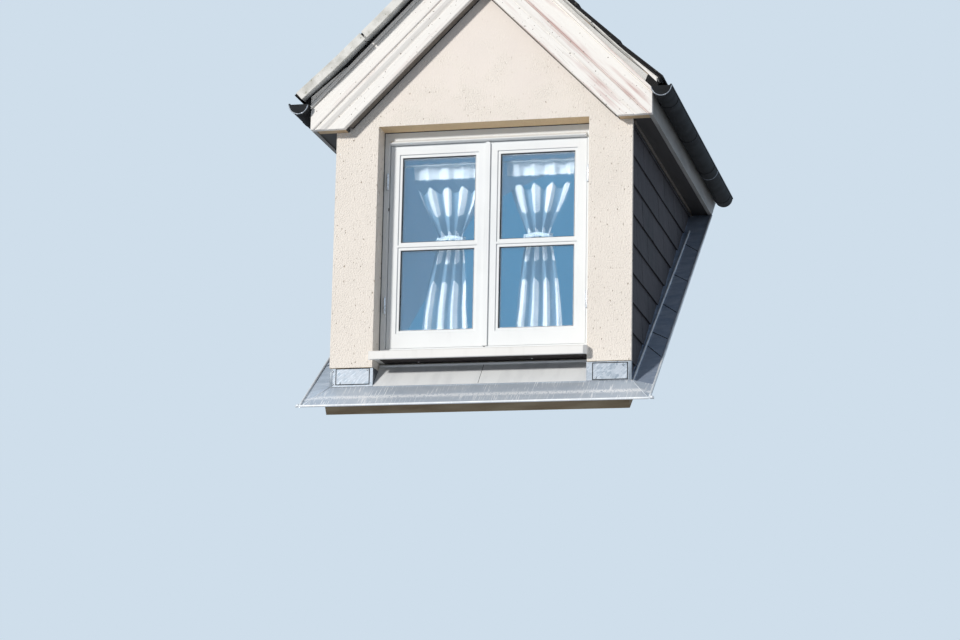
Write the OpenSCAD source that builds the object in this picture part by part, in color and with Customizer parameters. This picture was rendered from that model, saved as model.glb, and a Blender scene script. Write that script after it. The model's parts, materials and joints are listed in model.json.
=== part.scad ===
// Gabled dormer window, cut off on the slope of the main roof that carries it.
// Millimetres: +X to the right, +Y into the roof, +Z up.
// Origin: on the sloping seat, under the middle of the front wall's outer face.

/* [Main roof] */
// Pitch of the main roof, in degrees
main_pitch = 35; // [30:1:40]
// Height of the main roof's slated surface over the seat, square to the slope
roof_build = 60; // [45:1:80]

/* [Front wall] */
// Width over the render
wall_w = 1280; // [1200:1:1500]
// Thickness of the whole front wall
wall_t = 170; // [165:1:220]
// Thickness of the render coat that laps over the cheek slates
render_t = 20; // [15:1:30]
// Height of the render's lower edge over the seat, at the wall's face
base_h = 185; // [170:1:230]
// Depth of the plinth behind the render's face
plinth_in = 10; // [6:1:14]

/* [Window opening] */
// Width of the opening between the render legs
open_w = 910; // [800:1:960]
// Height of the opening's head over the render's lower edge
head_h = 1041; // [980:1:1080]
// Height of the wall's top under the sill, over the render's lower edge
sill_seat_h = 36; // [30:1:40]
// Depth from the wall's face to the window frame
reveal = 98; // [80:1:105]

/* [Window] */
// Depth of the window frame
frame_d = 65; // [60:1:66]
// Height of the frame's lower edge over the render's lower edge
frame_foot_h = 66; // [62:1:72]
// Visible width of the frame at the sides
frame_side = 26; // [20:1:34]
// Visible height of the frame's head
frame_head = 57; // [45:1:65]
// Visible height of the frame's lower rail
frame_foot = 30; // [22:1:36]
// Width of the stop behind the sashes
stop_w = 15; // [10:1:20]
// Depth of the stop behind the sashes
stop_d = 15; // [10:1:18]
// Clearance round each sash
sash_gap = 2; // [1.5:0.5:3]
// Width of the sash stiles and top rail
stile_w = 52; // [46:1:60]
// Height of the sash bottom rail
rail_h = 76; // [66:1:90]
// Thickness of the sashes
sash_t = 44; // [40:1:46]
// Width of the glazing bead round each pane
bead_w = 12; // [8:1:16]
// Depth of the glazing bead behind the sash's face
bead_in = 6; // [3:1:8]
// Height of the glazing bar across each sash
bar_h = 34; // [26:1:44]
// Distance of the glazing bars below the panes' middle
bar_drop = 12; // [0:1:30]
// Thickness of the double glazing
glass_t = 20; // [16:1:24]
// Width of the bead over the meeting stiles
astragal_w = 22; // [16:1:30]
// Projection of the bead over the meeting stiles
astragal_out = 9; // [6:1:12]
// Projection of the weather bar
drip_out = 20; // [14:1:30]
// Height of the weather bar
drip_h = 22; // [16:1:28]
// Radius of a hinge's barrel
hinge_r = 6; // [4:0.5:8]
// Length of a hinge's barrel
hinge_l = 72; // [50:1:90]

/* [Sill and zinc] */
// Projection of the sill in front of the wall
sill_out = 50; // [40:1:70]
// Height of the sill's nose
sill_nose = 36; // [28:1:40]
// Height of the nose's lower edge over the render's lower edge
sill_nose_h = 24; // [20:1:28]
// Thickness of the sill's turned-down nose
sill_nose_t = 16; // [12:1:22]
// Overlap of the sill's nose over each leg
sill_horn = 8; // [4:1:14]
// Chamfer on the sill's front corners
sill_chamfer = 14; // [8:1:20]
// Thickness of the zinc sheets
zinc_t = 3; // [2:0.5:4]
// Height of the zinc plates and panel below the render
plate_h = 80; // [70:1:95]
// Pitch of the sheet that slopes from under the sill to the apron, in degrees
panel_pitch = 45; // [40:1:60]
// Radius of the rolled edges of the zinc
roll_r = 5; // [4:0.5:7]
// Run of the apron in front of the wall
apron_run = 100; // [90:1:140]
// Width of the apron and the side flashings past the wall's corners
flash_w = 93; // [80:1:120]
// Overhang of the apron's front roll at each end
roll_end = 17; // [8:1:24]
// Height of the side flashings' upstand behind the slates
upstand_h = 110; // [90:1:130]

/* [Gable roof] */
// Pitch of the gable roof, in degrees
gable_pitch = 45; // [40:1:48]
// Height where the slated slopes cross, over the render's lower edge
apex_h = 1920; // [1900:1:2100]
// Thickness of the lapped slates
slate_t = 16; // [14:1:24]
// Step at each slate course
slate_step = 7; // [5:1:9]
// Spacing of the slate courses on the gable roof
slate_gauge = 250; // [200:1:280]
// Lift of the slates' tail at the eaves, eased out over two courses
kick_h = 18; // [10:1:22]
// Thickness of the slating battens
batten_t = 12; // [10:1:27]
// Width of the slating battens
batten_w = 40; // [30:1:50]
// Thickness of the roof boarding
deck_t = 14; // [12:1:22]
// Depth of the rafters
rafter_d = 100; // [80:1:110]
// Thickness of the rafters
rafter_t = 38; // [32:1:45]
// Spacing of the rafters
rafter_gap = 540; // [450:1:600]
// Thickness of the ridge board
ridge_t = 22; // [18:1:30]
// Depth of the ridge board
ridge_d = 138; // [110:1:140]
// Wing of the ridge cap down each slope
ridge_wing = 110; // [80:1:140]
// Radius of the ridge cap's roll
ridge_roll = 16; // [12:1:22]

/* [Verge and eaves] */
// Projection of the slates in front of the wall
verge_out = 148; // [130:1:180]
// Projection of the bargeboards in front of the wall
board_out = 80; // [70:1:100]
// Thickness of the bargeboards
board_t = 28; // [24:1:34]
// Width of the bargeboards
board_w = 163; // [150:1:180]
// Width of the bargeboards' upper band
band_w = 68; // [55:1:80]
// Height of the capping strip on the bargeboards
strip_h = 12; // [9:1:16]
// Height of the groove under the capping strip
strip_groove = 6; // [4:1:8]
// Thickness of the undercloak below the verge slates
cloak_t = 9; // [6:1:14]
// Reach of the bargeboards and fascias past the wall
eaves_out = 94; // [80:1:120]
// Height of the fascias below the roof boarding
fascia_h = 108; // [100:1:130]
// Reach of the slates past the fascias
slate_out = 56; // [50:1:66]
// Thickness of the fascias
fascia_t = 18; // [15:1:22]
// Thickness of the soffit boards
soffit_t = 12; // [9:1:15]
// Radius of the half round gutters
gutter_r = 42; // [36:1:50]
// Depth of the gutters' rim below the crossing slates at the eaves
gutter_drop = 34; // [30:1:50]
// Thickness of the gutters' sheet
gutter_t = 2; // [1.5:0.5:3]
// Width of a gutter bracket
strap_w = 25; // [20:1:35]
// Spacing of the gutter brackets
strap_gap = 520; // [400:1:600]

/* [Cheeks] */
// Thickness of the cheek walls
cheek_t = 110; // [90:1:130]
// Spacing of the slate courses on the cheeks
cheek_gauge = 125; // [110:1:140]
// Height of the cheek slates' cut edge over the main roof's slates
cheek_gap = 42; // [30:1:60]
// Thickness of the sole plates and the trimmer
sole_t = 45; // [38:1:50]
// Reach of the trimmer in front of the wall's face, along the slope
trim_front = 30; // [20:1:50]
// Thickness of the plaster lining
lining_t = 12; // [9:1:15]
// Thickness of the lay boards under the valley rafters
lay_t = 25; // [18:1:32]
// Width of the valley flashing past the slates
valley_w = 120; // [90:1:150]

/* [Curtains] */
// Radius of the curtain rods
rod_r = 5; // [4:0.5:7]
// Distance from the window frame to a curtain rod
rod_out = 14; // [12:1:20]
// Height of the curtain rods below the glass's top
rod_drop = 20; // [12:1:40]
// Thickness of the hanging folds
fold_t = 34; // [10:1:40]
// Width of a tied curtain at its waist
waist_w = 115; // [90:1:140]
// Width of a curtain at its hem
hem_w = 215; // [180:1:280]
// Offset of the curtains' middle from the sashes' middle, towards the window's centre
curtain_in = 16; // [0:1:20]
// Height of the curtains' ties over the glazing bars' middle
tie_lift = 46; // [20:1:60]

/* [Hidden] */
$fn = 48;
far = 4000;

// Rise of the soffits over the fascias' lower edge
soffit_lift = 4;
// Play between sloping faces that lie on each other
play = 0.01;
// Front ends of the boarding and battens, behind the bargeboards' face
batten_y = 12 - board_out;
// Length of the side flashings that runs on under the eaves
flash_lap = 60;
// Distance of the lay boards' lower edge behind the lining's edge
lay_in = 30;

// Levels over the seat
foot_z = base_h - plate_h;
open_head_z = base_h + head_h;
frame_z = base_h + frame_foot_h;
apex_z = base_h + apex_h;

// Half widths
wall_x = wall_w / 2;
open_x = open_w / 2;
cheek_x = wall_x - slate_t - zinc_t - 1;
cheek_in_x = cheek_x - cheek_t;
room_x = cheek_in_x - lining_t;
eaves_x = wall_x + eaves_out;
drip_x = eaves_x + slate_out;
flash_x = wall_x + flash_w;

// Depths below the gable roof's slated surface, square to the slope
batten_d = slate_t + batten_t;
deck_d = batten_d + deck_t;
rafter_low_d = deck_d + rafter_d;
board_top_d = deck_d + strip_h + strip_groove;
board_low_d = board_top_d + board_w;

// Level of the fascias' lower edge
eaves_z = gable_z(eaves_x, deck_d) - fascia_h;

// Window planes and sizes
frame_y = reveal;
frame_back = frame_y + frame_d;
sash_y = frame_back - stop_d - sash_t;
sash_back = sash_y + sash_t;
sash_low = frame_z + frame_foot + sash_gap;
sash_high = open_head_z - frame_head - sash_gap;
sash_out_x = open_x - frame_side - sash_gap;
sash_in_x = sash_gap;
glass_low = sash_low + rail_h;
glass_high = sash_high - stile_w;
glass_y = sash_y + 14;
bar_z = (glass_low + glass_high) / 2 - bar_drop;
sash_mid_x = (sash_out_x + sash_in_x) / 2;
glass_w = sash_out_x - sash_in_x - 2 * stile_w;
rod_z = glass_high - rod_drop;
rod_y = frame_back + rod_out;

// Height of the main roof over the seat plane's level, at depth y and build h
function main_z(y, h) = y * tan(main_pitch) + h / cos(main_pitch);

// Height of the gable roof at half width x and depth d below the slates
function gable_z(x, d) = apex_z - d / cos(gable_pitch) - x * tan(gable_pitch);

// Lift of the gable roof's slates at half width x, square to the slope
function kick(x) =
    let (i = (drip_x - x) / (slate_gauge * cos(gable_pitch)))
    i < 1 ? kick_h * (1 - 0.75 * i) : max(0, 0.25 * kick_h * (2 - i));

// Height of the lifted slates at half width x and depth d below their surface
function laid_z(x, d) = gable_z(x, d - kick(x));

// Half width where the slates' course i ends, counted from the eaves
function course_x(i) = max(0, drip_x - i * slate_gauge * cos(gable_pitch));

// Half width where the gable roof at depth d comes down to height z
function gable_x(z, d) = (apex_z - d / cos(gable_pitch) - z) / tan(gable_pitch);

// Depth into the roof where the gable roof meets the main roof
function valley_y(x, d, h) = (gable_z(x, d) - h / cos(main_pitch)) / tan(main_pitch);

// Depth of the sloping sheet's back under the sill, at height z
function panel_y(z) = plinth_in + (z - foot_z) / tan(panel_pitch);

// Outline in X and Z, drawn out along Y
module along_y(y0, y1) {
    translate([0, y1, 0]) rotate([90, 0, 0]) linear_extrude(y1 - y0) children();
}

// Outline in Y and Z, drawn out along X
module along_x(x0, x1) {
    translate([x0, 0, 0]) rotate([90, 0, 90]) linear_extrude(x1 - x0) children();
}

// Keeps what lies over the main roof's slope at build h
module over_main(h) {
    intersection() {
        children();
        along_x(-far, far)
            polygon([
                [-far, main_z(-far, h)], [far, main_z(far, h)], [far, 2 * far], [-far, 2 * far]
            ]);
    }
}

// Keeps what lies between two depths
module between_y(y0, y1) {
    intersection() {
        children();
        translate([-far, y0, -far]) cube([2 * far, y1 - y0, 2 * far]);
    }
}

// Distance up the slope to a level, on the layer at build h
function climb(z, h) = (z - h * cos(main_pitch)) / sin(main_pitch);

// Moves to the main roof's slope: Y runs up the slope and Z is square to it
module on_slope() {
    rotate([main_pitch, 0, 0]) children();
}

// Right half as drawn, or its mirror image
module side(right) {
    mirror([right ? 0 : 1, 0, 0]) children();
}

// Strip of the right gable slope between two depths and two half widths
module slope_strip(x0, x1, d0, d1) {
    polygon([
        [x0, gable_z(x0, d0)], [x1, gable_z(x1, d0)],
        [x1, gable_z(x1, d1)], [x0, gable_z(x0, d1)]
    ]);
}

// Timber under the front wall, with the seat on its underside
module sole_trimmer() {
    run = trim_front + wall_t / cos(main_pitch) - sole_t * tan(main_pitch);
    color("burlywood") on_slope() translate([-wall_x, -trim_front, 0]) cube([wall_w, run, sole_t]);
}

// Timber under one cheek wall
module sole_plate(right) {
    start = wall_t / cos(main_pitch) - sole_t * tan(main_pitch);
    tip_y = (cheek_top_z() - sole_t / cos(main_pitch)) / tan(main_pitch);
    run = tip_y / cos(main_pitch) + sole_t * tan(main_pitch) - start;
    color("burlywood") side(right) on_slope()
        translate([cheek_in_x, start, 0]) cube([cheek_t, run, sole_t]);
}

// Level of the cheek walls' top, where the rafters are notched over them
function cheek_top_z() = gable_z(cheek_x - cheek_t / 2, rafter_low_d);

// Rendered front wall with its opening, legs, plinth and gable
module front_wall() {
    seat = base_h + sill_seat_h;
    color("bisque") over_main(sole_t) difference() {
        union() {
            along_y(0, render_t) wall_outline(wall_x, wall_x);
            along_y(render_t, wall_t) wall_outline(cheek_x, cheek_x);
        }
        translate([-open_x, -1, seat]) cube([open_w, wall_t + 2, head_h - sill_seat_h]);
        translate([-wall_x - 1, -1, -far]) cube([wall_w + 2, plinth_in + 1, far + base_h]);
        for (s = [-1, 1])
            translate([s * wall_x - zinc_t, -1, -far])
                cube([2 * zinc_t, render_t + 1, far + base_h]);
        along_x(-open_x, open_x) polygon([
            [-1, foot_z], [plinth_in, foot_z], [panel_y(seat + 1), seat + 1], [-1, seat + 1]
        ]);
    }
}

// Outline of the front wall up to the underside of the roof boarding
module wall_outline(low_x, high_x) {
    polygon([
        [-low_x, -far / 4], [low_x, -far / 4], [high_x, gable_z(high_x, deck_d)],
        [0, gable_z(0, deck_d)], [-high_x, gable_z(high_x, deck_d)]
    ]);
}

// Framed cheek wall, a triangle on its sole plate
module cheek_wall(right) {
    top = cheek_top_z();
    tip_y = (top - sole_t / cos(main_pitch)) / tan(main_pitch);
    color("tan") side(right) along_x(cheek_in_x, cheek_x)
        polygon([[wall_t, main_z(wall_t, sole_t)], [tip_y, top], [wall_t, top]]);
}

// Hung slates on one cheek: each course overlaps the one below
module cheek_slates(right) {
    foot = base_h - cheek_gauge;
    courses = ceil((eaves_z - foot) / cheek_gauge);
    back_x = cheek_x + zinc_t;
    tip_y = (eaves_z - cheek_gap) / tan(main_pitch);
    steps = [
        for (i = [0:courses - 1])
            for (p = [[wall_x - 1, i], [wall_x - 1 - slate_step, i + 1]])
                [p[0], foot + p[1] * cheek_gauge]
    ];
    color("dimgray") side(right) intersection() {
        along_y(render_t, far)
            polygon(concat([[back_x, foot]], steps, [[back_x, foot + courses * cheek_gauge]]));
        along_x(0, far) polygon([
            [render_t, main_z(render_t, roof_build) + cheek_gap],
            [tip_y, main_z(tip_y, roof_build) + cheek_gap], [render_t, eaves_z + soffit_lift]
        ]);
        translate([0, 0, -far]) cube([far, far, far + eaves_z + soffit_lift]);
    }
}

// Plaster lining of one cheek and one ceiling slope
module lining(right) {
    color("whitesmoke") side(right) over_main(0) lining_boards();
}

// Board on the main rafters that carries the feet of the valley rafters
module lay_board(right) {
    x0 = ridge_t / 2;
    x1 = cheek_in_x;
    low_d = rafter_low_d + lining_t;
    color("burlywood") side(right) difference() {
        over_main(0) linear_extrude(2 * far) polygon([
            [x0, valley_y(x0, low_d, 0) + lay_in], [x1, valley_y(x1, low_d, 0) + lay_in],
            [x1, valley_y(x1, deck_d, lay_t)], [x0, valley_y(x0, deck_d, lay_t)]
        ]);
        over_main(lay_t) translate([-1, 0, 0]) cube(2 * far);
        lining_boards();
    }
}

// Lining boards of the right half, before the cut on the slope
module lining_boards() {
    along_y(wall_t, far) polygon([
        [room_x, 0], [cheek_in_x, 0], [cheek_in_x, gable_z(cheek_in_x, rafter_low_d)],
        [0, gable_z(0, rafter_low_d)], [0, gable_z(0, rafter_low_d + lining_t)],
        [room_x, gable_z(room_x, rafter_low_d + lining_t)]
    ]);
}

// Ridge board from the front wall back to the main roof
module ridge_board() {
    x = ridge_t / 2;
    top = gable_z(x, deck_d);
    low = gable_z(0, deck_d) - ridge_d;
    color("burlywood") over_main(0) along_y(wall_t, far)
        polygon([[-x, low], [x, low], [x, top], [0, gable_z(0, deck_d)], [-x, top]]);
}

// Rafters of one slope, notched over the cheek wall and cut on the lay board
module rafters(right) {
    x0 = ridge_t / 2;
    back_x = eaves_x - fascia_t;
    level = eaves_z + soffit_lift + soffit_t;
    top = cheek_top_z();
    count = floor((valley_y(0, deck_d, lay_t) - wall_t) / rafter_gap);
    color("burlywood") side(right) over_main(lay_t) {
        for (i = [0:count])
            along_y(wall_t + i * rafter_gap, wall_t + i * rafter_gap + rafter_t) polygon([
                [x0, gable_z(x0, deck_d)], [back_x, gable_z(back_x, deck_d)], [back_x, level],
                [gable_x(level, rafter_low_d), level], [cheek_x, gable_z(cheek_x, rafter_low_d)],
                [cheek_x, top], [gable_x(top, rafter_low_d), top], [x0, gable_z(x0, rafter_low_d)]
            ]);
    }
}

// Roof boarding of one slope with its slating battens
module roof_deck(right) {
    run = eaves_x / cos(gable_pitch);
    color("peru") side(right) over_main(roof_build) along_y(batten_y, far) {
        slope_strip(0, eaves_x, batten_d, deck_d);
        for (s = [slate_gauge / 2:slate_gauge:run]) let (x = eaves_x - s * cos(gable_pitch))
            batten(x - batten_w * cos(gable_pitch), x);
        batten(eaves_x - batten_w, eaves_x);
    }
}

// Section of one slating batten, as high as the slates on it
module batten(x0, x1) {
    polygon([
        [x0, laid_z(x0, slate_t + play)], [x1, laid_z(x1, slate_t + play)],
        [x1, gable_z(x1, batten_d)], [x0, gable_z(x0, batten_d)]
    ]);
}

// Slates of one slope, laid in lapped courses
module roof_slates(right) {
    courses = ceil(drip_x / cos(gable_pitch) / slate_gauge);
    steps = [
        for (i = [0:courses - 1])
            for (p = [[0, i], [slate_step, i + 1]])
                let (x = course_x(p[1]))
                [x, laid_z(x, p[0])]
    ];
    color("slategray") side(right) over_main(roof_build + slate_t) along_y(-verge_out, far)
        polygon(concat(bed_line(drip_x, slate_t), steps));
}

// Points under the slates from the ridge down to half width x, at depth d
function bed_line(x, d) =
    [for (i = [0, course_x(2), course_x(1), x]) [i, laid_z(i, d)]];

// Folded zinc cap with a roll along the ridge
module ridge_cap() {
    x = ridge_wing * cos(gable_pitch);
    color("silver") over_main(roof_build) along_y(-verge_out - 4, far) {
        polygon([
            [-x, gable_z(x, 0)], [0, gable_z(0, 0)], [x, gable_z(x, 0)],
            [x, gable_z(x, -zinc_t)], [0, gable_z(0, -zinc_t)], [-x, gable_z(x, -zinc_t)]
        ]);
        translate([0, gable_z(0, -zinc_t) + ridge_roll / 2]) circle(r = ridge_roll);
    }
}

// Zinc strip in one valley, laid on the main roof
module valley_flashing(right) {
    d = (batten_d + deck_d) / 2;
    color("silver") side(right) difference() {
        over_main(roof_build - zinc_t) linear_extrude(2 * far) polygon([
            [0, valley_y(0, d, roof_build)], [eaves_x, valley_y(eaves_x, d, roof_build)],
            [eaves_x, valley_y(eaves_x, 0, roof_build) + valley_w], [0, valley_y(0, 0, roof_build) + valley_w]
        ]);
        over_main(roof_build) translate([-1, 0, 0]) cube(2 * far);
    }
}

// Moulded section of a bargeboard: projection in front of the wall against depth
module board_section() {
    top = deck_d + play;
    a = board_top_d;
    b = a + band_w;
    c = board_low_d;
    mould = (c - b) * 0.42;
    polygon([
        [-board_out + board_t, -top], [-board_out - 8, -top], [-board_out - 8, -deck_d - strip_h],
        [-board_out + 8, -deck_d - strip_h], [-board_out + 8, -a], [-board_out, -a], [-board_out, -b + 3],
        [-board_out + 3, -b], [-board_out + 7, -b], [-board_out + 7, -b - 4],
        [-board_out + 2, -b - 8], [-board_out + 2, -b - mould * 0.45], [-board_out + 6, -b - mould * 0.75],
        [-board_out + 12, -b - mould], [-board_out + 12, -b - mould - 4], [-board_out + 6, -b - mould - 4],
        [-board_out + 6, -c + 3], [-board_out + 9, -c], [-board_out + board_t, -c]
    ]);
}

// White bargeboard of one verge, mitred at the ridge and cut level at the foot
module bargeboard(right) {
    color("ivory") side(right) intersection() {
        translate([0, 0, apex_z]) rotate([0, gable_pitch, 0]) along_x(-far / 4, far / 2) board_section();
        along_y(-far / 4, far / 4) polygon([
            [0, 0], [0, 2 * far], [eaves_x, 2 * far], [eaves_x, eaves_z], [0, eaves_z]
        ]);
    }
}

// Board that closes one boxed verge back to the wall
module verge_soffit(right) {
    foot_x = gable_x(eaves_z + soffit_lift + soffit_t, board_low_d);
    color("gray") side(right) along_y(board_t - board_out, 0)
        slope_strip(0, foot_x, board_low_d - soffit_t, board_low_d);
}

// Thin board bedded under the verge slates
module undercloak(right) {
    x = drip_x - 8;
    top = bed_line(x, slate_t);
    low = bed_line(x, slate_t + cloak_t);
    color("lightgray") side(right) along_y(-verge_out + 6, batten_y)
        polygon(concat(top, [for (i = [3:-1:0]) low[i]]));
}

// Fascia board along one eave
module fascia(right) {
    color("darkgray") side(right) over_main(roof_build + zinc_t) along_y(board_t - board_out, far)
        polygon([
            [eaves_x - fascia_t, eaves_z], [eaves_x, eaves_z],
            [eaves_x, gable_z(eaves_x, deck_d)], [eaves_x - fascia_t, gable_z(eaves_x - fascia_t, deck_d)]
        ]);
}

// Level soffit of one eave, with its return in front of the wall
module soffit(right) {
    foot_x = gable_x(eaves_z + soffit_lift, board_low_d);
    color("dimgray") side(right) over_main(roof_build + zinc_t)
        translate([0, 0, eaves_z + soffit_lift]) linear_extrude(soffit_t) polygon([
            [foot_x, 0], [foot_x, board_t - board_out], [eaves_x - fascia_t, board_t - board_out],
            [eaves_x - fascia_t, far], [wall_x, far], [wall_x, 0]
        ]);
}

// Half round gutter of one eave with its front stop and brackets
module gutter(right) {
    x = eaves_x + gutter_t + gutter_r;
    z = laid_z(drip_x, 0) - gutter_drop;
    front = 28 - verge_out;
    back = (z - gutter_r - roof_build / cos(main_pitch)) / tan(main_pitch);
    color("darkslategray") side(right) {
        translate([x, 0, z]) rotate([-90, 0, 0]) difference() {
            union() {
                translate([0, 0, front]) cylinder(r = gutter_r, h = back - front);
                for (y = [0:strap_gap:back - 100])
                    translate([0, 0, y + 60]) cylinder(r = gutter_r + gutter_t, h = strap_w);
            }
            translate([0, 0, front + gutter_t]) cylinder(r = gutter_r - gutter_t, h = far);
            translate([-far / 2, -far, -far / 2]) cube(far);
        }
        translate([x + gutter_r - gutter_t, front, z]) rotate([-90, 0, 0])
            cylinder(r = roll_r, h = back - front);
    }
}

// Fixed frame with a rebate for the two sashes
module window_frame() {
    color("white") along_y(frame_y, frame_back - stop_d) difference() {
        translate([-open_x, frame_z]) square([open_w, open_head_z - frame_z]);
        translate([-open_x + frame_side, frame_z + frame_foot])
            square([open_w - 2 * frame_side, sash_high - sash_low + 2 * sash_gap]);
    }
    color("white") along_y(frame_back - stop_d, frame_back) difference() {
        translate([-open_x, frame_z]) square([open_w, open_head_z - frame_z]);
        translate([-open_x + frame_side + stop_w, frame_z + frame_foot + stop_w])
            square([open_w - 2 * (frame_side + stop_w), sash_high - sash_low + 2 * (sash_gap - stop_w)]);
    }
}

// One sash with stepped glazing beads and a glazing bar
module sash(right) {
    color("white") side(right) {
        along_y(sash_y, glass_y) difference() {
            sash_outline();
            panes(bead_w);
        }
        along_y(sash_y + bead_in, glass_y) difference() {
            panes(bead_w);
            panes(0);
        }
        along_y(glass_y, sash_back) difference() {
            sash_outline();
            translate([sash_in_x + stile_w, glass_low]) square([glass_w, glass_high - glass_low]);
        }
    }
}

// Outer outline of one sash
module sash_outline() {
    translate([sash_in_x, sash_low]) square([sash_out_x - sash_in_x, sash_high - sash_low]);
}

// Outlines of a sash's two panes, grown by a margin
module panes(grow) {
    for (z = [[glass_low, bar_z - bar_h / 2], [bar_z + bar_h / 2, glass_high]])
        translate([sash_in_x + stile_w - grow, z[0] - grow])
            square([glass_w + 2 * grow, z[1] - z[0] + 2 * grow]);
}

// Double glazing of one sash
module glass(right) {
    color("lightblue", 0.5) side(right) translate([sash_in_x + stile_w, glass_y, glass_low])
        cube([glass_w, glass_t, glass_high - glass_low]);
}

// Rounded bead over the meeting stiles
module meeting_bead() {
    color("white") along_y(sash_y - astragal_out, sash_y) {
        translate([-astragal_w / 2, sash_low]) square([astragal_w, sash_high - sash_low - astragal_w / 2]);
        translate([0, sash_high - astragal_w / 2]) circle(d = astragal_w);
    }
}

// Moulded weather bar across the frame's head
module weather_bar() {
    low = sash_high + sash_gap;
    color("white") along_x(-sash_out_x, sash_out_x) polygon([
        [frame_y, low], [frame_y - drip_out + 6, low], [frame_y - drip_out, low + 4],
        [frame_y - drip_out, low + 8], [frame_y - drip_out + 10, low + 13], [frame_y, low + drip_h]
    ]);
}

// Hinge barrels at the outer stiles
module hinges() {
    color("gainsboro") for (s = [-1, 1]) for (z = [glass_low + hinge_l, glass_high - 2 * hinge_l])
        translate([s * (sash_out_x + sash_gap + hinge_r), frame_y - hinge_r, z])
            cylinder(r = hinge_r, h = hinge_l);
}

// Sloping sill with a turned-down nose, chamfered at its front corners
module window_sill() {
    low = base_h + sill_seat_h;
    nose = base_h + sill_nose_h;
    horn_x = open_x + sill_horn;
    edge = 4;
    color("white") intersection() {
        along_x(-wall_x, wall_x) polygon([
            [-sill_out, nose], [-sill_out, nose + sill_nose - edge], [edge - sill_out, nose + sill_nose],
            [frame_y, frame_z], [frame_back, frame_z], [frame_back, low],
            [sill_nose_t - sill_out, low], [sill_nose_t - sill_out, nose]
        ]);
        linear_extrude(far) polygon([
            [-open_x, far], [-open_x, 0], [-horn_x, 0], [-horn_x, sill_chamfer - sill_out],
            [sill_chamfer - horn_x, -sill_out], [horn_x - sill_chamfer, -sill_out],
            [horn_x, sill_chamfer - sill_out], [horn_x, 0], [open_x, 0], [open_x, far]
        ]);
    }
}

// Smooth sheet that slopes from under the sill to the apron, with a roll along its top
module under_sill_panel() {
    x = open_x - zinc_t;
    top = base_h + sill_seat_h - 3 * roll_r;
    skin = zinc_t / sin(panel_pitch);
    back = panel_y(top);
    color("lightgray") along_x(-x, x) {
        polygon([[plinth_in - skin, foot_z], [plinth_in, foot_z], [back, top], [back - skin, top]]);
        translate([back - roll_r * sin(panel_pitch), top + roll_r * cos(panel_pitch)]) circle(r = roll_r);
    }
}

// Zinc plate round the foot of one leg, with its return down to the sloping sheet
module corner_plate(right) {
    face = plinth_in - zinc_t;
    color("silver") side(right) {
        translate([0, 0, foot_z]) linear_extrude(plate_h) polygon([
            [open_x - zinc_t, plinth_in], [open_x - zinc_t, face], [wall_x, face],
            [wall_x, render_t], [wall_x - zinc_t, render_t], [wall_x - zinc_t, plinth_in]
        ]);
        along_x(open_x - zinc_t, open_x)
            polygon([[face, foot_z], [plinth_in, foot_z], [panel_y(base_h), base_h], [face, base_h]]);
    }
}

// Folded apron in front, hipped round both corners, with a rolled front edge
module apron_flashing() {
    drop = zinc_t / cos(main_pitch);
    low = main_z(-apron_run, roof_build) + drop;
    side_z = main_z(plinth_in, roof_build) + drop;
    side_x = flash_x - roll_r / 2;
    skin = [
        [-side_x, plinth_in, side_z], [-side_x, -apron_run, low], [side_x, -apron_run, low],
        [side_x, plinth_in, side_z], [wall_x, plinth_in, foot_z], [-wall_x, plinth_in, foot_z]
    ];
    rim = [for (i = [0:5]) [i, (i + 1) % 6, (i + 1) % 6 + 6, i + 6]];
    color("silver") {
        polyhedron(
            points = concat(skin, [for (p = skin) p - [0, 0, drop]]),
            faces = concat([
                [5, 4, 2, 1], [4, 3, 2], [0, 5, 1], [7, 8, 10, 11], [8, 9, 10], [7, 11, 6]
            ], rim)
        );
        translate([-flash_x - roll_end, -apron_run, low - drop + roll_r]) rotate([0, 90, 0])
            cylinder(r = roll_r, h = 2 * (flash_x + roll_end));
        between_y(-apron_run - roll_r / 2, plinth_in) for (s = [-1, 1]) on_slope()
            translate([s * flash_x, -2 * apron_run, roof_build + roll_r]) rotate([-90, 0, 0])
                cylinder(r = roll_r, h = 3 * apron_run);
    }
}

// Flashing up one cheek, with its upstand and rolled edge
module side_flashing(right) {
    run = climb(eaves_z, roof_build) + flash_lap;
    roll_run = climb(eaves_z, roof_build + 2 * roll_r);
    color("silver") side(right) intersection() {
        on_slope() {
            translate([cheek_x, 0, roof_build]) cube([flash_x - cheek_x, run, zinc_t]);
            translate([cheek_x, 0, roof_build]) cube([zinc_t, run, upstand_h]);
            translate([flash_x, 0, roof_build + roll_r]) rotate([-90, 0, 0])
                cylinder(r = roll_r, h = roll_run);
        }
        linear_extrude(far) polygon([
            [cheek_x, render_t], [wall_x, render_t], [wall_x, plinth_in], [2 * wall_x, plinth_in],
            [2 * wall_x, far], [cheek_x, far]
        ]);
    }
}

// Rods on two brackets each that carry the curtains behind the sashes
module curtain_rods() {
    reach = sash_out_x - sash_in_x - stile_w;
    color("silver") for (s = [-1, 1]) {
        translate([s * sash_mid_x - reach / 2 - rod_r, rod_y, rod_z]) rotate([0, 90, 0])
            cylinder(r = rod_r, h = reach + 2 * rod_r);
        for (end = [-1, 1])
            translate([s * sash_mid_x + end * reach / 2, sash_back, rod_z])
                rotate([-90, 0, 0]) cylinder(r = rod_r - 1, h = rod_y - sash_back);
    }
}

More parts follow.
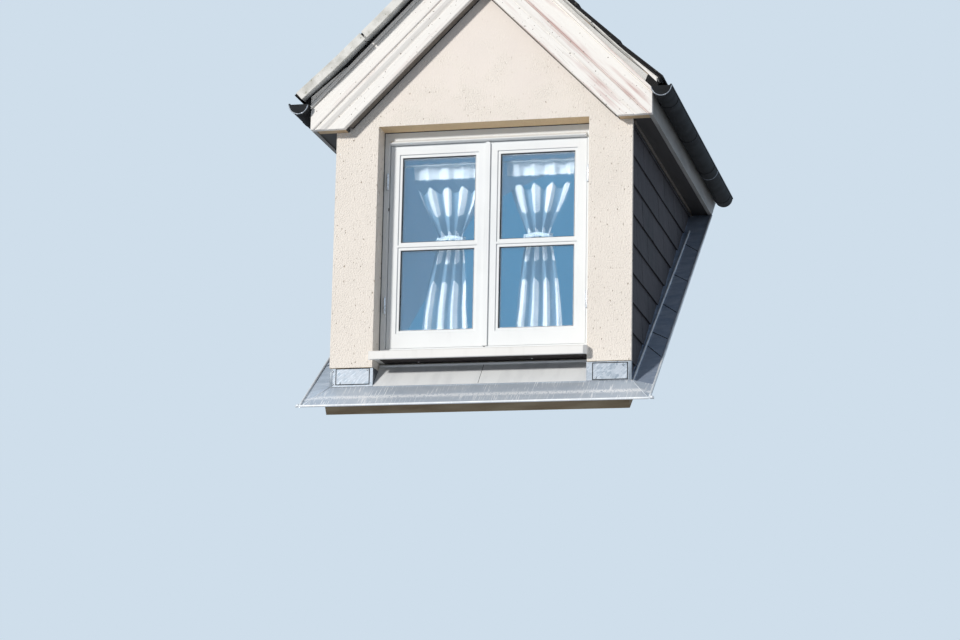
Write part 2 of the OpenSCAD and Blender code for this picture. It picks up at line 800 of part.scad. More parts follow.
// Tied curtain behind one sash, as a plain slab of its outline
module curtain(right) {
    low = glass_low - 20;
    tie_z = bar_z + tie_lift;
    top_w = glass_w;
    color("white", 0.8) side(right) translate([sash_mid_x - curtain_in, 0, 0])
        along_y(rod_y + rod_r, rod_y + rod_r + fold_t)
        polygon([
            [-top_w / 2, rod_z + 14], [top_w / 2, rod_z + 14], [top_w / 2, rod_z - 46],
            [waist_w / 2, tie_z + 12], [waist_w / 2, tie_z - 24], [hem_w / 2, low],
            [-hem_w / 2, low], [-waist_w / 2, tie_z - 24], [-waist_w / 2, tie_z + 12],
            [-top_w / 2, rod_z - 46]
        ]);
}

sole_trimmer();
sole_plate(false);  // sole_plate_left
sole_plate(true);  // sole_plate_right
front_wall();
cheek_wall(false);  // cheek_wall_left
cheek_wall(true);  // cheek_wall_right
cheek_slates(false);  // cheek_slates_left
cheek_slates(true);  // cheek_slates_right
lining(false);  // lining_left
lining(true);  // lining_right
lay_board(false);  // lay_board_left
lay_board(true);  // lay_board_right
ridge_board();
rafters(false);  // rafters_left
rafters(true);  // rafters_right
roof_deck(false);  // roof_deck_left
roof_deck(true);  // roof_deck_right
roof_slates(false);  // roof_slates_left
roof_slates(true);  // roof_slates_right
ridge_cap();
valley_flashing(false);  // valley_flashing_left
valley_flashing(true);  // valley_flashing_right
bargeboard(false);  // bargeboard_left
bargeboard(true);  // bargeboard_right
verge_soffit(false);  // verge_soffit_left
verge_soffit(true);  // verge_soffit_right
undercloak(false);  // undercloak_left
undercloak(true);  // undercloak_right
fascia(false);  // fascia_left
fascia(true);  // fascia_right
soffit(false);  // soffit_left
soffit(true);  // soffit_right
gutter(false);  // gutter_left
gutter(true);  // gutter_right
window_frame();
sash(false);  // sash_left
sash(true);  // sash_right
glass(false);  // glass_left
glass(true);  // glass_right
meeting_bead();
weather_bar();
hinges();
window_sill();
under_sill_panel();
corner_plate(false);  // corner_plate_left
corner_plate(true);  // corner_plate_right
apron_flashing();
side_flashing(false);  // side_flashing_left
side_flashing(true);  // side_flashing_right
curtain_rods();
curtain(false);  // curtain_left
curtain(true);  // curtain_right
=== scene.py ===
"""Looks of a gabled dormer window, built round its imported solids.

The dormer stands alone, cut off on the slope of the main roof. Lengths are in metres,
X to the right, Y into the roof and Z up, with the origin under the front wall's face.
"""

import json
import logging
import math
import random
from dataclasses import dataclass, field
from enum import Enum
from typing import Callable, Iterable, Sequence

import bmesh
import bpy
import numpy as np
from mathutils import Matrix, Vector

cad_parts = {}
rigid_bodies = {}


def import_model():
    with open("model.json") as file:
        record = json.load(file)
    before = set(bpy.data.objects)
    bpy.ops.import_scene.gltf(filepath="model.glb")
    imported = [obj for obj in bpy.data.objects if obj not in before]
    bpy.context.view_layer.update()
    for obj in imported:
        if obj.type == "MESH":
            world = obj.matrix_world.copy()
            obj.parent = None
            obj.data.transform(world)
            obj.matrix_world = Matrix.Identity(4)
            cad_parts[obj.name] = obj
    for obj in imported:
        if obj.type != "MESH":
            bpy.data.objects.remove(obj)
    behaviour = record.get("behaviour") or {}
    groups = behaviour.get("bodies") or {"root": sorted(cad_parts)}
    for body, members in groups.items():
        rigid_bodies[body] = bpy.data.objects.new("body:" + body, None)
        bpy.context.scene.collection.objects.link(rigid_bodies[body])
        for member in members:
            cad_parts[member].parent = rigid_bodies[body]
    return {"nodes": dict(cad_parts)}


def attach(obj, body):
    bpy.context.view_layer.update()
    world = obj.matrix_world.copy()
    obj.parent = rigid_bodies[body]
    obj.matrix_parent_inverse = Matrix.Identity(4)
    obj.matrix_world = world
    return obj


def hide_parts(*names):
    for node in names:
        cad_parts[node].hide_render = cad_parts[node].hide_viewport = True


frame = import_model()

log = logging.getLogger("dormer")

Point = Sequence[float]
Outline = Sequence[Point]
Pair = tuple[float, float]
Triple = tuple[float, float, float]
Four = tuple[float, float, float, float]
Tree = bpy.types.NodeTree
Socket = bpy.types.NodeSocket
ROOT = "root"
CUT_EDGE = -1.0  # the tone that slate reads as a dark, dull edge


class Side(Enum):
    """A half of the dormer, with the sign of its X."""

    LEFT = -1
    RIGHT = 1

    @property
    def word(self) -> str:
        """The half's name as the nodes have it."""
        return self.name.lower()

    def span(self, near: float, far: float) -> list[float]:
        """The lowest and highest X of what reaches from near to far of the middle."""
        return sorted((self.value * near, self.value * far))


class Slot(Enum):
    """The record's material slots that new pieces take."""

    SLATE = "slate"
    ZINC = "zinc"
    DARK_ZINC = "dark_zinc"
    WHITE_TIMBER = "white_timber"
    GREY_TIMBER = "grey_timber"
    CEMENT_BOARD = "cement_board"
    WHITE_PLASTIC = "white_plastic"
    WHITE_METAL = "white_metal"
    GLASS = "glass"
    CURTAIN = "curtain"


def linear(hex_colour: str) -> Four:
    """Turns an sRGB hex colour to linear light.

    Args:
        hex_colour: six digits after a hash sign.

    Returns:
        Red, green, blue and an alpha of 1.
    """
    parts = [int(hex_colour[i : i + 2], 16) / 255 for i in (1, 3, 5)]
    light = [c / 12.92 if c <= 0.04045 else ((c + 0.055) / 1.055) ** 2.4 for c in parts]
    return light[0], light[1], light[2], 1.0


def add_node(
    tree: Tree, kind: str, inputs: dict | None = None, out: int | str = 0, **settings: object
) -> Socket | None:
    """Adds one shader node with its settings and links.

    Args:
        tree: the node tree.
        kind: the node's type, without its ShaderNode prefix.
        inputs: values or sockets for the node's inputs, by name or number.
        out: the output that is wanted, by name or number.
        settings: the node's own properties.

    Returns:
        The output's socket, or None on a node that has no outputs.
    """
    node = tree.nodes.new("ShaderNode" + kind)
    for name, value in settings.items():
        setattr(node, name, value)
    for name, value in (inputs or {}).items():
        if isinstance(value, Socket):
            tree.links.new(value, node.inputs[name])
        else:
            node.inputs[name].default_value = value
    return node.outputs[out] if node.outputs else None


# Finishes


@dataclass(frozen=True)
class Finish:
    """A surface with its material, which is made once for each name."""

    name: str = ""

    def title(self) -> str:
        """The material's name."""
        return self.name or type(self).__name__

    def material(self) -> bpy.types.Material:
        """Makes the material, or finds it.

        Returns:
            The material, whose surface comes from shade().
        """
        found = bpy.data.materials.get(self.title())
        if found:
            return found
        made = bpy.data.materials.new(self.title())
        made.use_nodes = True
        made.node_tree.nodes.clear()
        add_node(made.node_tree, "OutputMaterial", {"Surface": self.shade(made.node_tree)})
        return made

    def shade(self, tree: Tree) -> Socket:
        """Builds the surface's nodes in the tree and returns the shader's socket."""
        raise NotImplementedError

    def grains(
        self,
        tree: Tree,
        size: float,
        low: float,
        high: float,
        stretch: Point = (1, 1, 1),
        turn: Point = (0, 0, 0),
        detail: float = 3.0,
        source: Socket | None = None,
    ) -> Socket:
        """Irregular spots or streaks of a real size.

        Args:
            tree: the node tree.
            size: metres from one spot to the next.
            low: noise value that turns to 0.
            high: noise value that turns to 1.
            stretch: how much longer the spots are along each axis.
            turn: how the axes are turned, in radians.
            detail: number of finer layers.
            source: coordinates to use in place of the object's own.

        Returns:
            A number from 0 to 1 over the surface.
        """
        where = source or add_node(tree, "TexCoord", out="Object")
        turned = add_node(tree, "Mapping", {"Vector": where, "Rotation": turn})
        scale = [1 / s for s in stretch]
        spread = add_node(tree, "Mapping", {"Vector": turned, "Scale": scale})
        fine = {"Vector": spread, "Scale": 1 / size, "Detail": detail}
        noise = add_node(tree, "TexNoise", fine)
        return add_node(tree, "MapRange", {"Value": noise, "From Min": low, "From Max": high})

    def layered(self, tree: Tree, base: str | Socket, *coats: tuple[Socket, str]) -> Socket:
        """Lays colours over each other.

        Args:
            tree: the node tree.
            base: the lowest colour.
            coats: for each coat over it, how far it covers and its colour.

        Returns:
            The colour over the surface.
        """
        colour = linear(base) if isinstance(base, str) else base
        for cover, coat in coats:
            over = {0: cover, 6: colour, 7: linear(coat)}
            colour = add_node(tree, "Mix", over, 2, data_type="RGBA")
        return colour

    def skin(
        self,
        tree: Tree,
        colour: Socket,
        roughness: Socket | float,
        relief: Socket | None = None,
        depth: float = 0.001,
        strength: Socket | float = 0.5,
        **more: Socket | float,
    ) -> Socket:
        """The finished surface over its fine relief.

        Args:
            tree: the node tree.
            colour: its colour.
            roughness: its roughness.
            relief: height of its relief, from 0 to 1.
            depth: real height of the relief, in metres.
            strength: how much of the relief shows.
            more: other numbers of the shader, named with _ for a space.

        Returns:
            The shader's socket.
        """
        inputs = {"Base Color": colour, "Roughness": roughness}
        inputs |= {name.replace("_", " "): value for name, value in more.items()}
        if relief:
            height = {"Height": relief, "Distance": depth, "Strength": strength}
            inputs["Normal"] = add_node(tree, "Bump", height)
        return add_node(tree, "BsdfPrincipled", inputs)


@dataclass(frozen=True)
class RoughcastRender(Finish):
    """Cement and lime render, thrown on by hand: pebbly and matt, floated smoother high up."""

    cream: str = "#f7eee3"
    rosy: str = "#f2e8df"
    pit: str = "#b7a48e"
    dusty: str = "#f0d2a8"  # painted shade: a warm tan on faces that look down, such as the opening's head
    grit: float = 0.0065  # sieve size of the thrown grit
    smooth_low: float = 1.22
    smooth_high: float = 1.55
    ragged_rise: float = 0.35

    def shade(self, tree: Tree) -> Socket:
        """Grit stands out as bumps, open pits get painted shadow and dirt, and faces that look down
        get a painted warm shade.

        Args:
            tree: the material\'s node tree.

        Returns:
            The shader\'s socket.
        """
        where = add_node(tree, "TexCoord", out="Object")
        height = add_node(tree, "SeparateXYZ", {0: where}, "Z")
        ragged = self.grains(tree, 0.11, 0.35, 0.65, detail=4.0)
        rise = {0: ragged, 1: self.ragged_rise, 2: height}
        raised = add_node(tree, "Math", rise, operation="MULTIPLY_ADD")
        low, high = (h + 0.17 for h in (self.smooth_low, self.smooth_high))
        span = {"Value": raised, "From Min": low, "From Max": high, "To Max": 0.86}
        floated = add_node(tree, "MapRange", span)
        rough = add_node(tree, "Math", {0: 1.0, 1: floated}, operation="SUBTRACT")
        grit = self.grains(tree, self.grit, 0.36, 0.66, detail=2.0)
        pits = self.grains(tree, self.grit * 1.7, 0.34, 0.26, (0.8, 1, 1.5), detail=2.0)
        relief = add_node(tree, "Math", {0: pits, 1: -1.4, 2: grit}, operation="MULTIPLY_ADD")
        coat = self.layered(tree, self.cream, (floated, self.rosy))
        clouds = self.grains(tree, 0.3, 0.3, 0.7)
        tone = add_node(tree, "MapRange", {"Value": clouds, "To Min": 0.965, "To Max": 1.02})
        clouded = add_node(tree, "HueSaturation", {"Color": coat, "Value": tone})
        # painted shadow and dirt: the pits darken towards the pit colour
        dirt = add_node(tree, "Math", {0: pits, 1: rough}, operation="MULTIPLY")
        # painted shade: faces that look down turn to the warm tan, standing for shade and bounce
        # light
        facing = add_node(tree, "NewGeometry", out="Normal")
        upward = add_node(tree, "SeparateXYZ", {0: facing}, "Z")
        under = add_node(tree, "MapRange", {"Value": upward, "From Min": -0.4, "From Max": -0.9})
        colour = self.layered(tree, clouded, (dirt, self.pit), (under, self.dusty))
        strength = add_node(tree, "MapRange", {"Value": rough, "To Min": 0.12})
        return self.skin(tree, colour, 0.93, relief, 0.0021, strength, IOR=1.5)


@dataclass(frozen=True)
class ExtrudedPvc(Finish):
    """White rigid PVC, extruded and welded: smooth, a little glossy, with faint dust runs."""

    name: str = "WindowPvc"
    white: str = "#e6e8e8"
    dust: str = "#c9cac8"
    roughness: float = 0.5

    def shade(self, tree: Tree) -> Socket:
        """Rain leaves dust in soft upright runs, and the skin is a little uneven.

        Args:
            tree: the material\'s node tree.

        Returns:
            The shader\'s socket.
        """
        runs = self.grains(tree, 0.03, 0.56, 0.86, stretch=(1, 1, 9), detail=4.0)
        haze = self.grains(tree, 0.22, 0.4, 0.8)
        dusty = add_node(tree, "Math", {0: runs, 1: haze}, operation="MULTIPLY")
        colour = self.layered(tree, self.white, (dusty, self.dust))
        span = {"Value": haze, "To Min": self.roughness, "To Max": self.roughness + 0.14}
        gloss = add_node(tree, "MapRange", span)
        waves = self.grains(tree, 0.05, 0.3, 0.7, detail=1.0)
        return self.skin(tree, colour, gloss, waves, 0.0003, 0.5, IOR=1.53)


@dataclass(frozen=True)
class WeatheredGloss(Finish):
    """White alkyd gloss, brushed on softwood boards and chalked by weather.

    Streaks run with the boards, thin places show the pink primer, and the mouldings
    hold grey dirt. apex_depth is the distance of the slates' crossing from the origin,
    square to a slope, so that depths count from the slates.
    """

    white: str = "#f0ece6"
    primer: str = "#c8aaa3"
    dirt: str = "#8c847b"
    apex_depth: float = 1.4885
    groove: float = 0.128

    def shade(self, tree: Tree) -> Socket:
        """Both boards share one pattern, mirrored about the ridge's plane.

        Args:
            tree: the material\'s node tree.

        Returns:
            The shader\'s socket.
        """
        where = add_node(tree, "TexCoord", out="Object")
        x, _, z = add_node(tree, "SeparateXYZ", {0: where}).node.outputs
        half = add_node(tree, "Math", {0: x}, operation="ABSOLUTE")
        down = add_node(tree, "Math", {0: half, 1: z}, operation="SUBTRACT")
        across = add_node(tree, "Math", {0: half, 1: z}, operation="ADD")
        square = {0: across, 1: -math.sqrt(0.5), 2: self.apex_depth}
        depth = add_node(tree, "Math", square, operation="MULTIPLY_ADD")
        side = add_node(tree, "Math", {0: x}, operation="SIGN")
        board = add_node(tree, "CombineXYZ", {"X": down, "Y": depth, "Z": side})
        streaks, broad, hairs, patches, relief = (
            self.grains(tree, size, low, high, (long, 1, 1), detail=detail, source=board)
            for size, low, high, long, detail in (
                (0.014, 0.46, 0.68, 26, 5.0),
                (0.05, 0.44, 0.64, 9, 3.0),
                (0.005, 0.6, 0.8, 40, 3.0),
                (0.04, 0.38, 0.62, 12, 4.0),
                (0.009, 0.3, 0.75, 30, 4.0),
            )
        )
        span = {"Value": depth, "From Min": 0.114, "From Max": 0.132}
        low_band = add_node(tree, "MapRange", span)
        worn = add_node(tree, "MapRange", {"Value": side, "From Min": -1.0, "To Min": 0.25})
        from_line = add_node(tree, "Math", {0: depth, 1: self.groove}, operation="SUBTRACT")
        beside = add_node(tree, "Math", {0: from_line}, operation="ABSOLUTE")
        line = add_node(tree, "MapRange", {"Value": beside, "From Min": 0.009, "From Max": 0.001})
        in_line = add_node(tree, "Math", {0: line, 1: patches}, operation="MULTIPLY")
        rubbed = add_node(tree, "Math", {0: streaks, 1: broad}, operation="MULTIPLY")
        bare = add_node(tree, "Math", {0: rubbed, 1: in_line}, operation="MAXIMUM")
        thin = add_node(tree, "Math", {0: bare, 1: worn}, operation="MULTIPLY")
        dirty = add_node(tree, "Math", {0: hairs, 1: low_band}, operation="MULTIPLY")
        soiled = add_node(tree, "Math", {0: dirty, 1: 0.55}, operation="MULTIPLY")
        specks = self.grains(tree, 0.008, 0.22, 0.18, detail=0.0)
        coats = ((thin, self.primer), (soiled, self.dirt), (specks, self.dirt))
        colour = self.layered(tree, self.white, *coats)
        return self.skin(tree, colour, 0.52, relief, 0.0011, 0.6, IOR=1.5)


@dataclass(frozen=True)
class PaintedBoard(Finish):
    """Softwood board with a satin paint, dull and dusty; its default grey is the white fascia's
    paint darkened as painted shade of the eaves.
    """

    name: str = "FasciaPaintGreyedForShade"
    # painted shade: the fascia's white paint is drawn grey for the shade that it stands in
    paint: str = "#a19e99"
    grime: str = "#4d4a46"
    amount: float = 0.5

    def shade(self, tree: Tree) -> Socket:
        """Dust and cobwebs lie along the board, over a faint grain.

        Args:
            tree: the material\'s node tree.

        Returns:
            The shader\'s socket.
        """
        along = self.grains(tree, 0.035, 0.42, 0.8, stretch=(1, 8, 1), detail=4.0)
        amount = add_node(tree, "Math", {0: along, 1: self.amount}, operation="MULTIPLY")
        colour = self.layered(tree, self.paint, (amount, self.grime))
        grain = self.grains(tree, 0.006, 0.3, 0.7, stretch=(1, 30, 1))
        return self.skin(tree, colour, 0.58, grain, 0.0006, 0.5, IOR=1.5)


@dataclass(frozen=True)
class RivenSlate(Finish):
    """Natural slate, split by hand and left riven: dark, flaky and with a dull sheen."""

    name: str = "CheekSlate"
    dark: str = "#262124"
    pale: str = "#453f42"
    lichen: str = "#8d8a80"
    spots: float = 0.15
    roughness: float = 0.85

    def shade(self, tree: Tree) -> Socket:
        """Each slate has its own tone, read from the mesh, and its cut edges are dark.

        Args:
            tree: the material\'s node tree.

        Returns:
            The shader\'s socket.
        """
        tone = add_node(tree, "Attribute", out="Fac", attribute_name="tone")
        flakes = self.grains(tree, 0.09, 0.35, 0.68, stretch=(1, 1, 1.6), detail=6.0)
        mixed = add_node(tree, "Math", {0: flakes, 1: 0.45, 2: tone}, operation="MULTIPLY_ADD")
        patches = self.grains(tree, 0.016, 0.66, 0.76, detail=4.0)
        amount = add_node(tree, "Math", {0: patches, 1: self.spots}, operation="MULTIPLY")
        colour = self.layered(tree, self.dark, (mixed, self.pale), (amount, self.lichen))
        layers = self.grains(tree, 0.035, 0.3, 0.7, stretch=(1, 1.4, 1), detail=8.0)
        span = {"From Min": -1.0, "From Max": 0.0, "To Min": 0.97, "To Max": self.roughness}
        dull = add_node(tree, "MapRange", {"Value": tone, **span})
        return self.skin(tree, colour, dull, layers, 0.0016, 0.7, IOR=1.55)


@dataclass(frozen=True)
class RolledZinc(Finish):
    """Titanium zinc sheet, rolled and weathered to a soft blue grey, with bright scratches.

    The scratches are partly painted sun glints: near white and less metallic. turn points
    them, which lie spacing apart, drawn a little coarser than fine scratches so that they
    show. band is the Y of a band of bright specks, painted sun glints across the sheet.
    """

    name: str = "ApronZinc"
    grey: str = "#d6dde4"
    bright: str = "#fafbfc"
    stain: str = "#c4ccd5"
    turn: float = 0.05
    spacing: float = 0.0045
    scratched: float = 0.9
    roughness: float = 0.42
    clean: float = 0.45  # how far the patina lets the metal through
    band: float | None = None

    def shade(self, tree: Tree) -> Socket:
        """Scratches, partly painted sun glints, with a carbonate patina, cloudy and dull, between.

        Args:
            tree: the material\'s node tree.

        Returns:
            The shader\'s socket.
        """
        long, turn = (1, 22, 22), (0, 0, self.turn)
        scratches = self.grains(tree, self.spacing, 0.56, 0.64, long, turn, detail=2.0)
        gathered = self.grains(tree, 0.07, 0.36, 0.6)
        marks = add_node(tree, "Math", {0: scratches, 1: gathered}, operation="MULTIPLY")
        amount = add_node(tree, "Math", {0: marks, 1: self.scratched}, operation="MULTIPLY")
        # painted highlight: a band of bright specks at band stands for sun glints
        if self.band is not None:
            where = add_node(tree, "TexCoord", out="Object")
            across = add_node(tree, "SeparateXYZ", {0: where}, "Y")
            off = add_node(tree, "Math", {0: across, 1: self.band}, operation="SUBTRACT")
            away = add_node(tree, "Math", {0: off}, operation="ABSOLUTE")
            near = add_node(tree, "MapRange", {"Value": away, "From Min": 0.014, "From Max": 0.003})
            spots = self.grains(tree, 0.005, 0.37, 0.5, stretch=(1, 2, 2))
            worn = add_node(tree, "Math", {0: near, 1: spots}, operation="MULTIPLY")
            amount = add_node(tree, "Math", {0: amount, 1: worn}, operation="MAXIMUM")
        bloom = self.grains(tree, 0.06, 0.35, 0.7, stretch=(1.6, 1, 1), detail=5.0)
        colour = self.layered(tree, self.stain, (bloom, self.grey), (amount, self.bright))
        span = {"Value": bloom, "To Min": self.roughness + 0.12, "To Max": self.roughness}
        dull = add_node(tree, "MapRange", span)
        # scratches and glints turn less metallic, so that their near-white colour shows as painted
        # glint
        bare = add_node(tree, "MapRange", {"Value": amount, "To Min": self.clean, "To Max": 0.3})
        waves = self.grains(tree, 0.13, 0.25, 0.75, stretch=(1, 1.5, 1), detail=2.0)
        relief = add_node(tree, "Math", {0: marks, 1: 0.06, 2: waves}, operation="MULTIPLY_ADD")
        return self.skin(tree, colour, dull, relief, 0.002, 0.5, Metallic=bare)


@dataclass(frozen=True)
class SpangledSteel(Finish):
    """Hot-dip galvanised steel: zinc crystals of 10 to 20 mm catch the light unevenly."""

    pale: str = "#989da3"
    dull: str = "#5f676f"
    spangle: float = 0.013

    def shade(self, tree: Tree) -> Socket:
        """Crystals as cells, with feathered scratches over them.

        Args:
            tree: the material\'s node tree.

        Returns:
            The shader\'s socket.
        """
        where = add_node(tree, "TexCoord", out="Object")
        bent = self.grains(tree, 0.02, 0.2, 0.8, detail=2.0)
        shift = add_node(tree, "CombineXYZ", {0: bent, 1: bent, 2: bent})
        moved = add_node(
            tree, "VectorMath", {0: shift, 1: (0.014,) * 3, 2: where}, operation="MULTIPLY_ADD"
        )
        scale = {"Vector": moved, "Scale": 1 / self.spangle}
        cells = add_node(tree, "TexVoronoi", scale, "Color")
        tone = add_node(tree, "SeparateXYZ", {0: cells}, "X")
        feathers = self.grains(tree, 0.004, 0.5, 0.7, stretch=(7, 7, 1), turn=(0, 0.7, 0))
        lit = add_node(tree, "Math", {0: feathers, 1: 0.5, 2: tone}, operation="MULTIPLY_ADD")
        colour = self.layered(tree, self.dull, (lit, self.pale))
        gloss = add_node(tree, "MapRange", {"Value": tone, "To Min": 0.45, "To Max": 0.6})
        return self.skin(tree, colour, gloss, Metallic=1.0)


@dataclass(frozen=True)
class CoatedSteel(Finish):
    """Steel sheet with a baked polyester coat: even, smooth and satin, with rain marks."""

    name: str = "PaleCoatedSheet"
    colour: str = "#f1f3f3"
    marks: str = "#e4e6e7"

    def shade(self, tree: Tree) -> Socket:
        """Dried rain leaves faint cloudy marks on the coat.

        Args:
            tree: the material\'s node tree.

        Returns:
            The shader\'s socket.
        """
        runs = self.grains(tree, 0.05, 0.45, 0.75, stretch=(1, 3, 3), detail=4.0)
        colour = self.layered(tree, self.colour, (runs, self.marks))
        waves = self.grains(tree, 0.2, 0.3, 0.7, detail=1.0)
        return self.skin(tree, colour, 0.4, waves, 0.0015, 0.4, IOR=1.5)


@dataclass(frozen=True)
class SawnSoftwood(Finish):
    """Spruce, sawn and left plain: ring bands along the timber and a fuzzy surface."""

    name: str = "SawnSpruce"
    pale: str = "#cfae7f"
    dark: str = "#a47d4f"
    along: Point = (1, 14, 6)

    def shade(self, tree: Tree) -> Socket:
        """Growth rings 3 to 6 mm apart, cut at a slant, with saw marks across them.

        Args:
            tree: the material\'s node tree.

        Returns:
            The shader\'s socket.
        """
        rings = self.grains(tree, 0.018, 0.3, 0.7, self.along, (0.05, 0.1, 0), detail=5.0)
        colour = self.layered(tree, self.pale, (rings, self.dark))
        fuzz = self.grains(tree, 0.003, 0.3, 0.7, stretch=self.along)
        return self.skin(tree, colour, 0.82, fuzz, 0.0005, 0.6, IOR=1.5)


@dataclass(frozen=True)
class PlasterBluedForSkyReflection(Finish):
    """Gypsum board, skimmed and painted matt, with roller stipple; its blue is painted sky
    reflection for the panes.
    """

    # painted reflection: the lining is blue so that the panes read as mirroring the sky
    paint: str = "#a6cbe6"
    cloud: str = "#98bdd8"

    def shade(self, tree: Tree) -> Socket:
        """Stipple of 2 mm under soft clouds of tone.

        Args:
            tree: the material\'s node tree.

        Returns:
            The shader\'s socket.
        """
        clouds = self.grains(tree, 0.35, 0.35, 0.65)
        colour = self.layered(tree, self.paint, (clouds, self.cloud))
        stipple = self.grains(tree, 0.002, 0.3, 0.7, detail=1.0)
        return self.skin(tree, colour, 0.9, stipple, 0.0004, 0.4, IOR=1.5)


@dataclass(frozen=True)
class FibreCement(Finish):
    """Fibre cement board, pressed: pale grey, chalky, with moss and rain stains."""

    grey: str = "#e8e6e0"
    stain: str = "#c6c4bc"
    moss: str = "#9b9c8a"

    def shade(self, tree: Tree) -> Socket:
        """Stains spread from the edges, and moss dots them.

        Args:
            tree: the material\'s node tree.

        Returns:
            The shader\'s socket.
        """
        stains = self.grains(tree, 0.05, 0.42, 0.68, detail=6.0)
        dots = self.grains(tree, 0.012, 0.64, 0.74, detail=5.0)
        colour = self.layered(tree, self.grey, (stains, self.stain), (dots, self.moss))
        fibres = self.grains(tree, 0.004, 0.3, 0.7)
        return self.skin(tree, colour, 0.9, fibres, 0.0006, 0.6, IOR=1.5)


@dataclass(frozen=True)
class FloatGlass(Finish):
    """Float glass with a hard metal oxide film against the sun: clear and flat.

    It mirrors the sky far more than plain glass, and dust dulls it here and there.
    """

    tint: str = "#f4f8fb"
    shadow: str = "#fbfcfd"
    film: float = 2.3  # IOR of titanium oxide

    def shade(self, tree: Tree) -> Socket:
        """Lamps reach the curtains straight through it, as through a real pane.

        Args:
            tree: the material\'s node tree.

        Returns:
            The shader\'s socket.
        """
        dust = self.grains(tree, 0.12, 0.5, 0.9, detail=5.0)
        gloss = add_node(tree, "MapRange", {"Value": dust, "To Max": 0.05})
        film = {"IOR": 1.52, "Transmission_Weight": 1.0, "Coat_Weight": 1.0, "Coat_IOR": self.film}
        glass = self.skin(tree, linear(self.tint), gloss, **film)
        clear = add_node(tree, "BsdfTransparent", {"Color": linear(self.shadow)})
        shaded = add_node(tree, "LightPath", out="Is Shadow Ray")
        return add_node(tree, "MixShader", {0: shaded, 1: glass, 2: clear})


@dataclass(frozen=True)
class PolyesterVoile(Finish):
    """White polyester voile, plain woven and soft: sheer, with bands of painted sunlight across it,
    drawn as whiter, denser cloth.

    The mesh attribute sunlit_and_dense is 1 on a lit band's fold tops, 0.35 for painted shade
    elsewhere, 0 on the clear strip and 0.92 on the header.
    """

    name: str = "CurtainVoile"
    white: str = "#fbfcfd"
    # painted shade: the voile's colour in shade, with the sky showing through it
    sheer: str = "#6f8ca1"
    cover_low: float = 0.12
    cover_high: float = 0.98
    thread: float = 0.0012  # three real threads, so that the weave can show

    def shade(self, tree: Tree) -> Socket:
        """Threads up and across as a fine relief, with soft creases.

        Args:
            tree: the material\'s node tree.

        Returns:
            The shader\'s socket.
        """
        sunlit_and_dense = add_node(tree, "Attribute", out="Fac", attribute_name="sunlit_and_dense")
        creases = self.grains(tree, 0.02, 0.35, 0.75, stretch=(1, 1, 7), detail=4.0)
        # painted sunlight: the lit share turns the voile white, and the rest keeps the painted
        # shade colour
        sunlit_share = add_node(tree, "MapRange", {"Value": sunlit_and_dense, "From Min": 0.35, "From Max": 0.8})
        woven = add_node(
            tree, "Math", {0: creases, 1: -0.12, 2: sunlit_share}, operation="MULTIPLY_ADD", use_clamp=True
        )
        colour = self.layered(tree, self.sheer, (woven, self.white))
        span = {"From Max": 0.35, "To Min": self.cover_low, "To Max": self.cover_high}
        cover = add_node(tree, "MapRange", {"Value": sunlit_and_dense, **span})
        where = add_node(tree, "TexCoord", out="Object")
        threads = {"Vector": where, "Scale": 0.314 / self.thread, "Distortion": 0.4}
        weft = add_node(tree, "TexWave", threads, "Fac", bands_direction="Z")
        cloth = {"IOR": 1.54, "Alpha": cover, "Sheen_Weight": 0.03}
        return self.skin(tree, colour, 0.85, weft, 0.0003, 0.4, **cloth)


@dataclass(frozen=True)
class SatinMetal(Finish):
    """Small turned or pressed hardware, plated and handled: satin, with worn high spots."""

    name: str = "PlatedSteel"
    metal: str = "#c3c6c9"
    tarnish: str = "#7f8284"
    roughness: float = 0.3

    def shade(self, tree: Tree) -> Socket:
        """Tarnish of a few millimetres dulls the plating.

        Args:
            tree: the material\'s node tree.

        Returns:
            The shader\'s socket.
        """
        marks = self.grains(tree, 0.006, 0.45, 0.75, detail=4.0)
        colour = self.layered(tree, self.metal, (marks, self.tarnish))
        span = {"Value": marks, "To Min": self.roughness, "To Max": self.roughness + 0.25}
        return self.skin(tree, colour, add_node(tree, "MapRange", span), Metallic=1.0)


@dataclass(frozen=True)
class RubberGasket(Finish):
    """EPDM rubber or bitumen felt: nearly black and matt, with dust on it."""

    name: str = "GlazingRubber"
    black: str = "#2b2d2f"
    dust: str = "#56585a"

    def shade(self, tree: Tree) -> Socket:
        """Dust lies in short dashes along the lip.

        Args:
            tree: the material\'s node tree.

        Returns:
            The shader\'s socket.
        """
        dust = self.grains(tree, 0.012, 0.5, 0.8)
        return self.skin(tree, self.layered(tree, self.black, (dust, self.dust)), 0.85, IOR=1.5)


@dataclass(frozen=True)
class StudioFloor(Finish):
    """Painted studio floor: pale and matt, with the faintest roller marks."""

    pale: str = "#e3e8ed"

    def shade(self, tree: Tree) -> Socket:
        """One coat of matt floor paint.

        Args:
            tree: the material\'s node tree.

        Returns:
            The shader\'s socket.
        """
        marks = self.grains(tree, 0.4, 0.3, 0.7)
        tone = add_node(tree, "MapRange", {"Value": marks, "To Min": 0.99, "To Max": 1.01})
        colour = add_node(tree, "HueSaturation", {"Color": linear(self.pale), "Value": tone})
        return self.skin(tree, colour, 0.8)


# Shapes


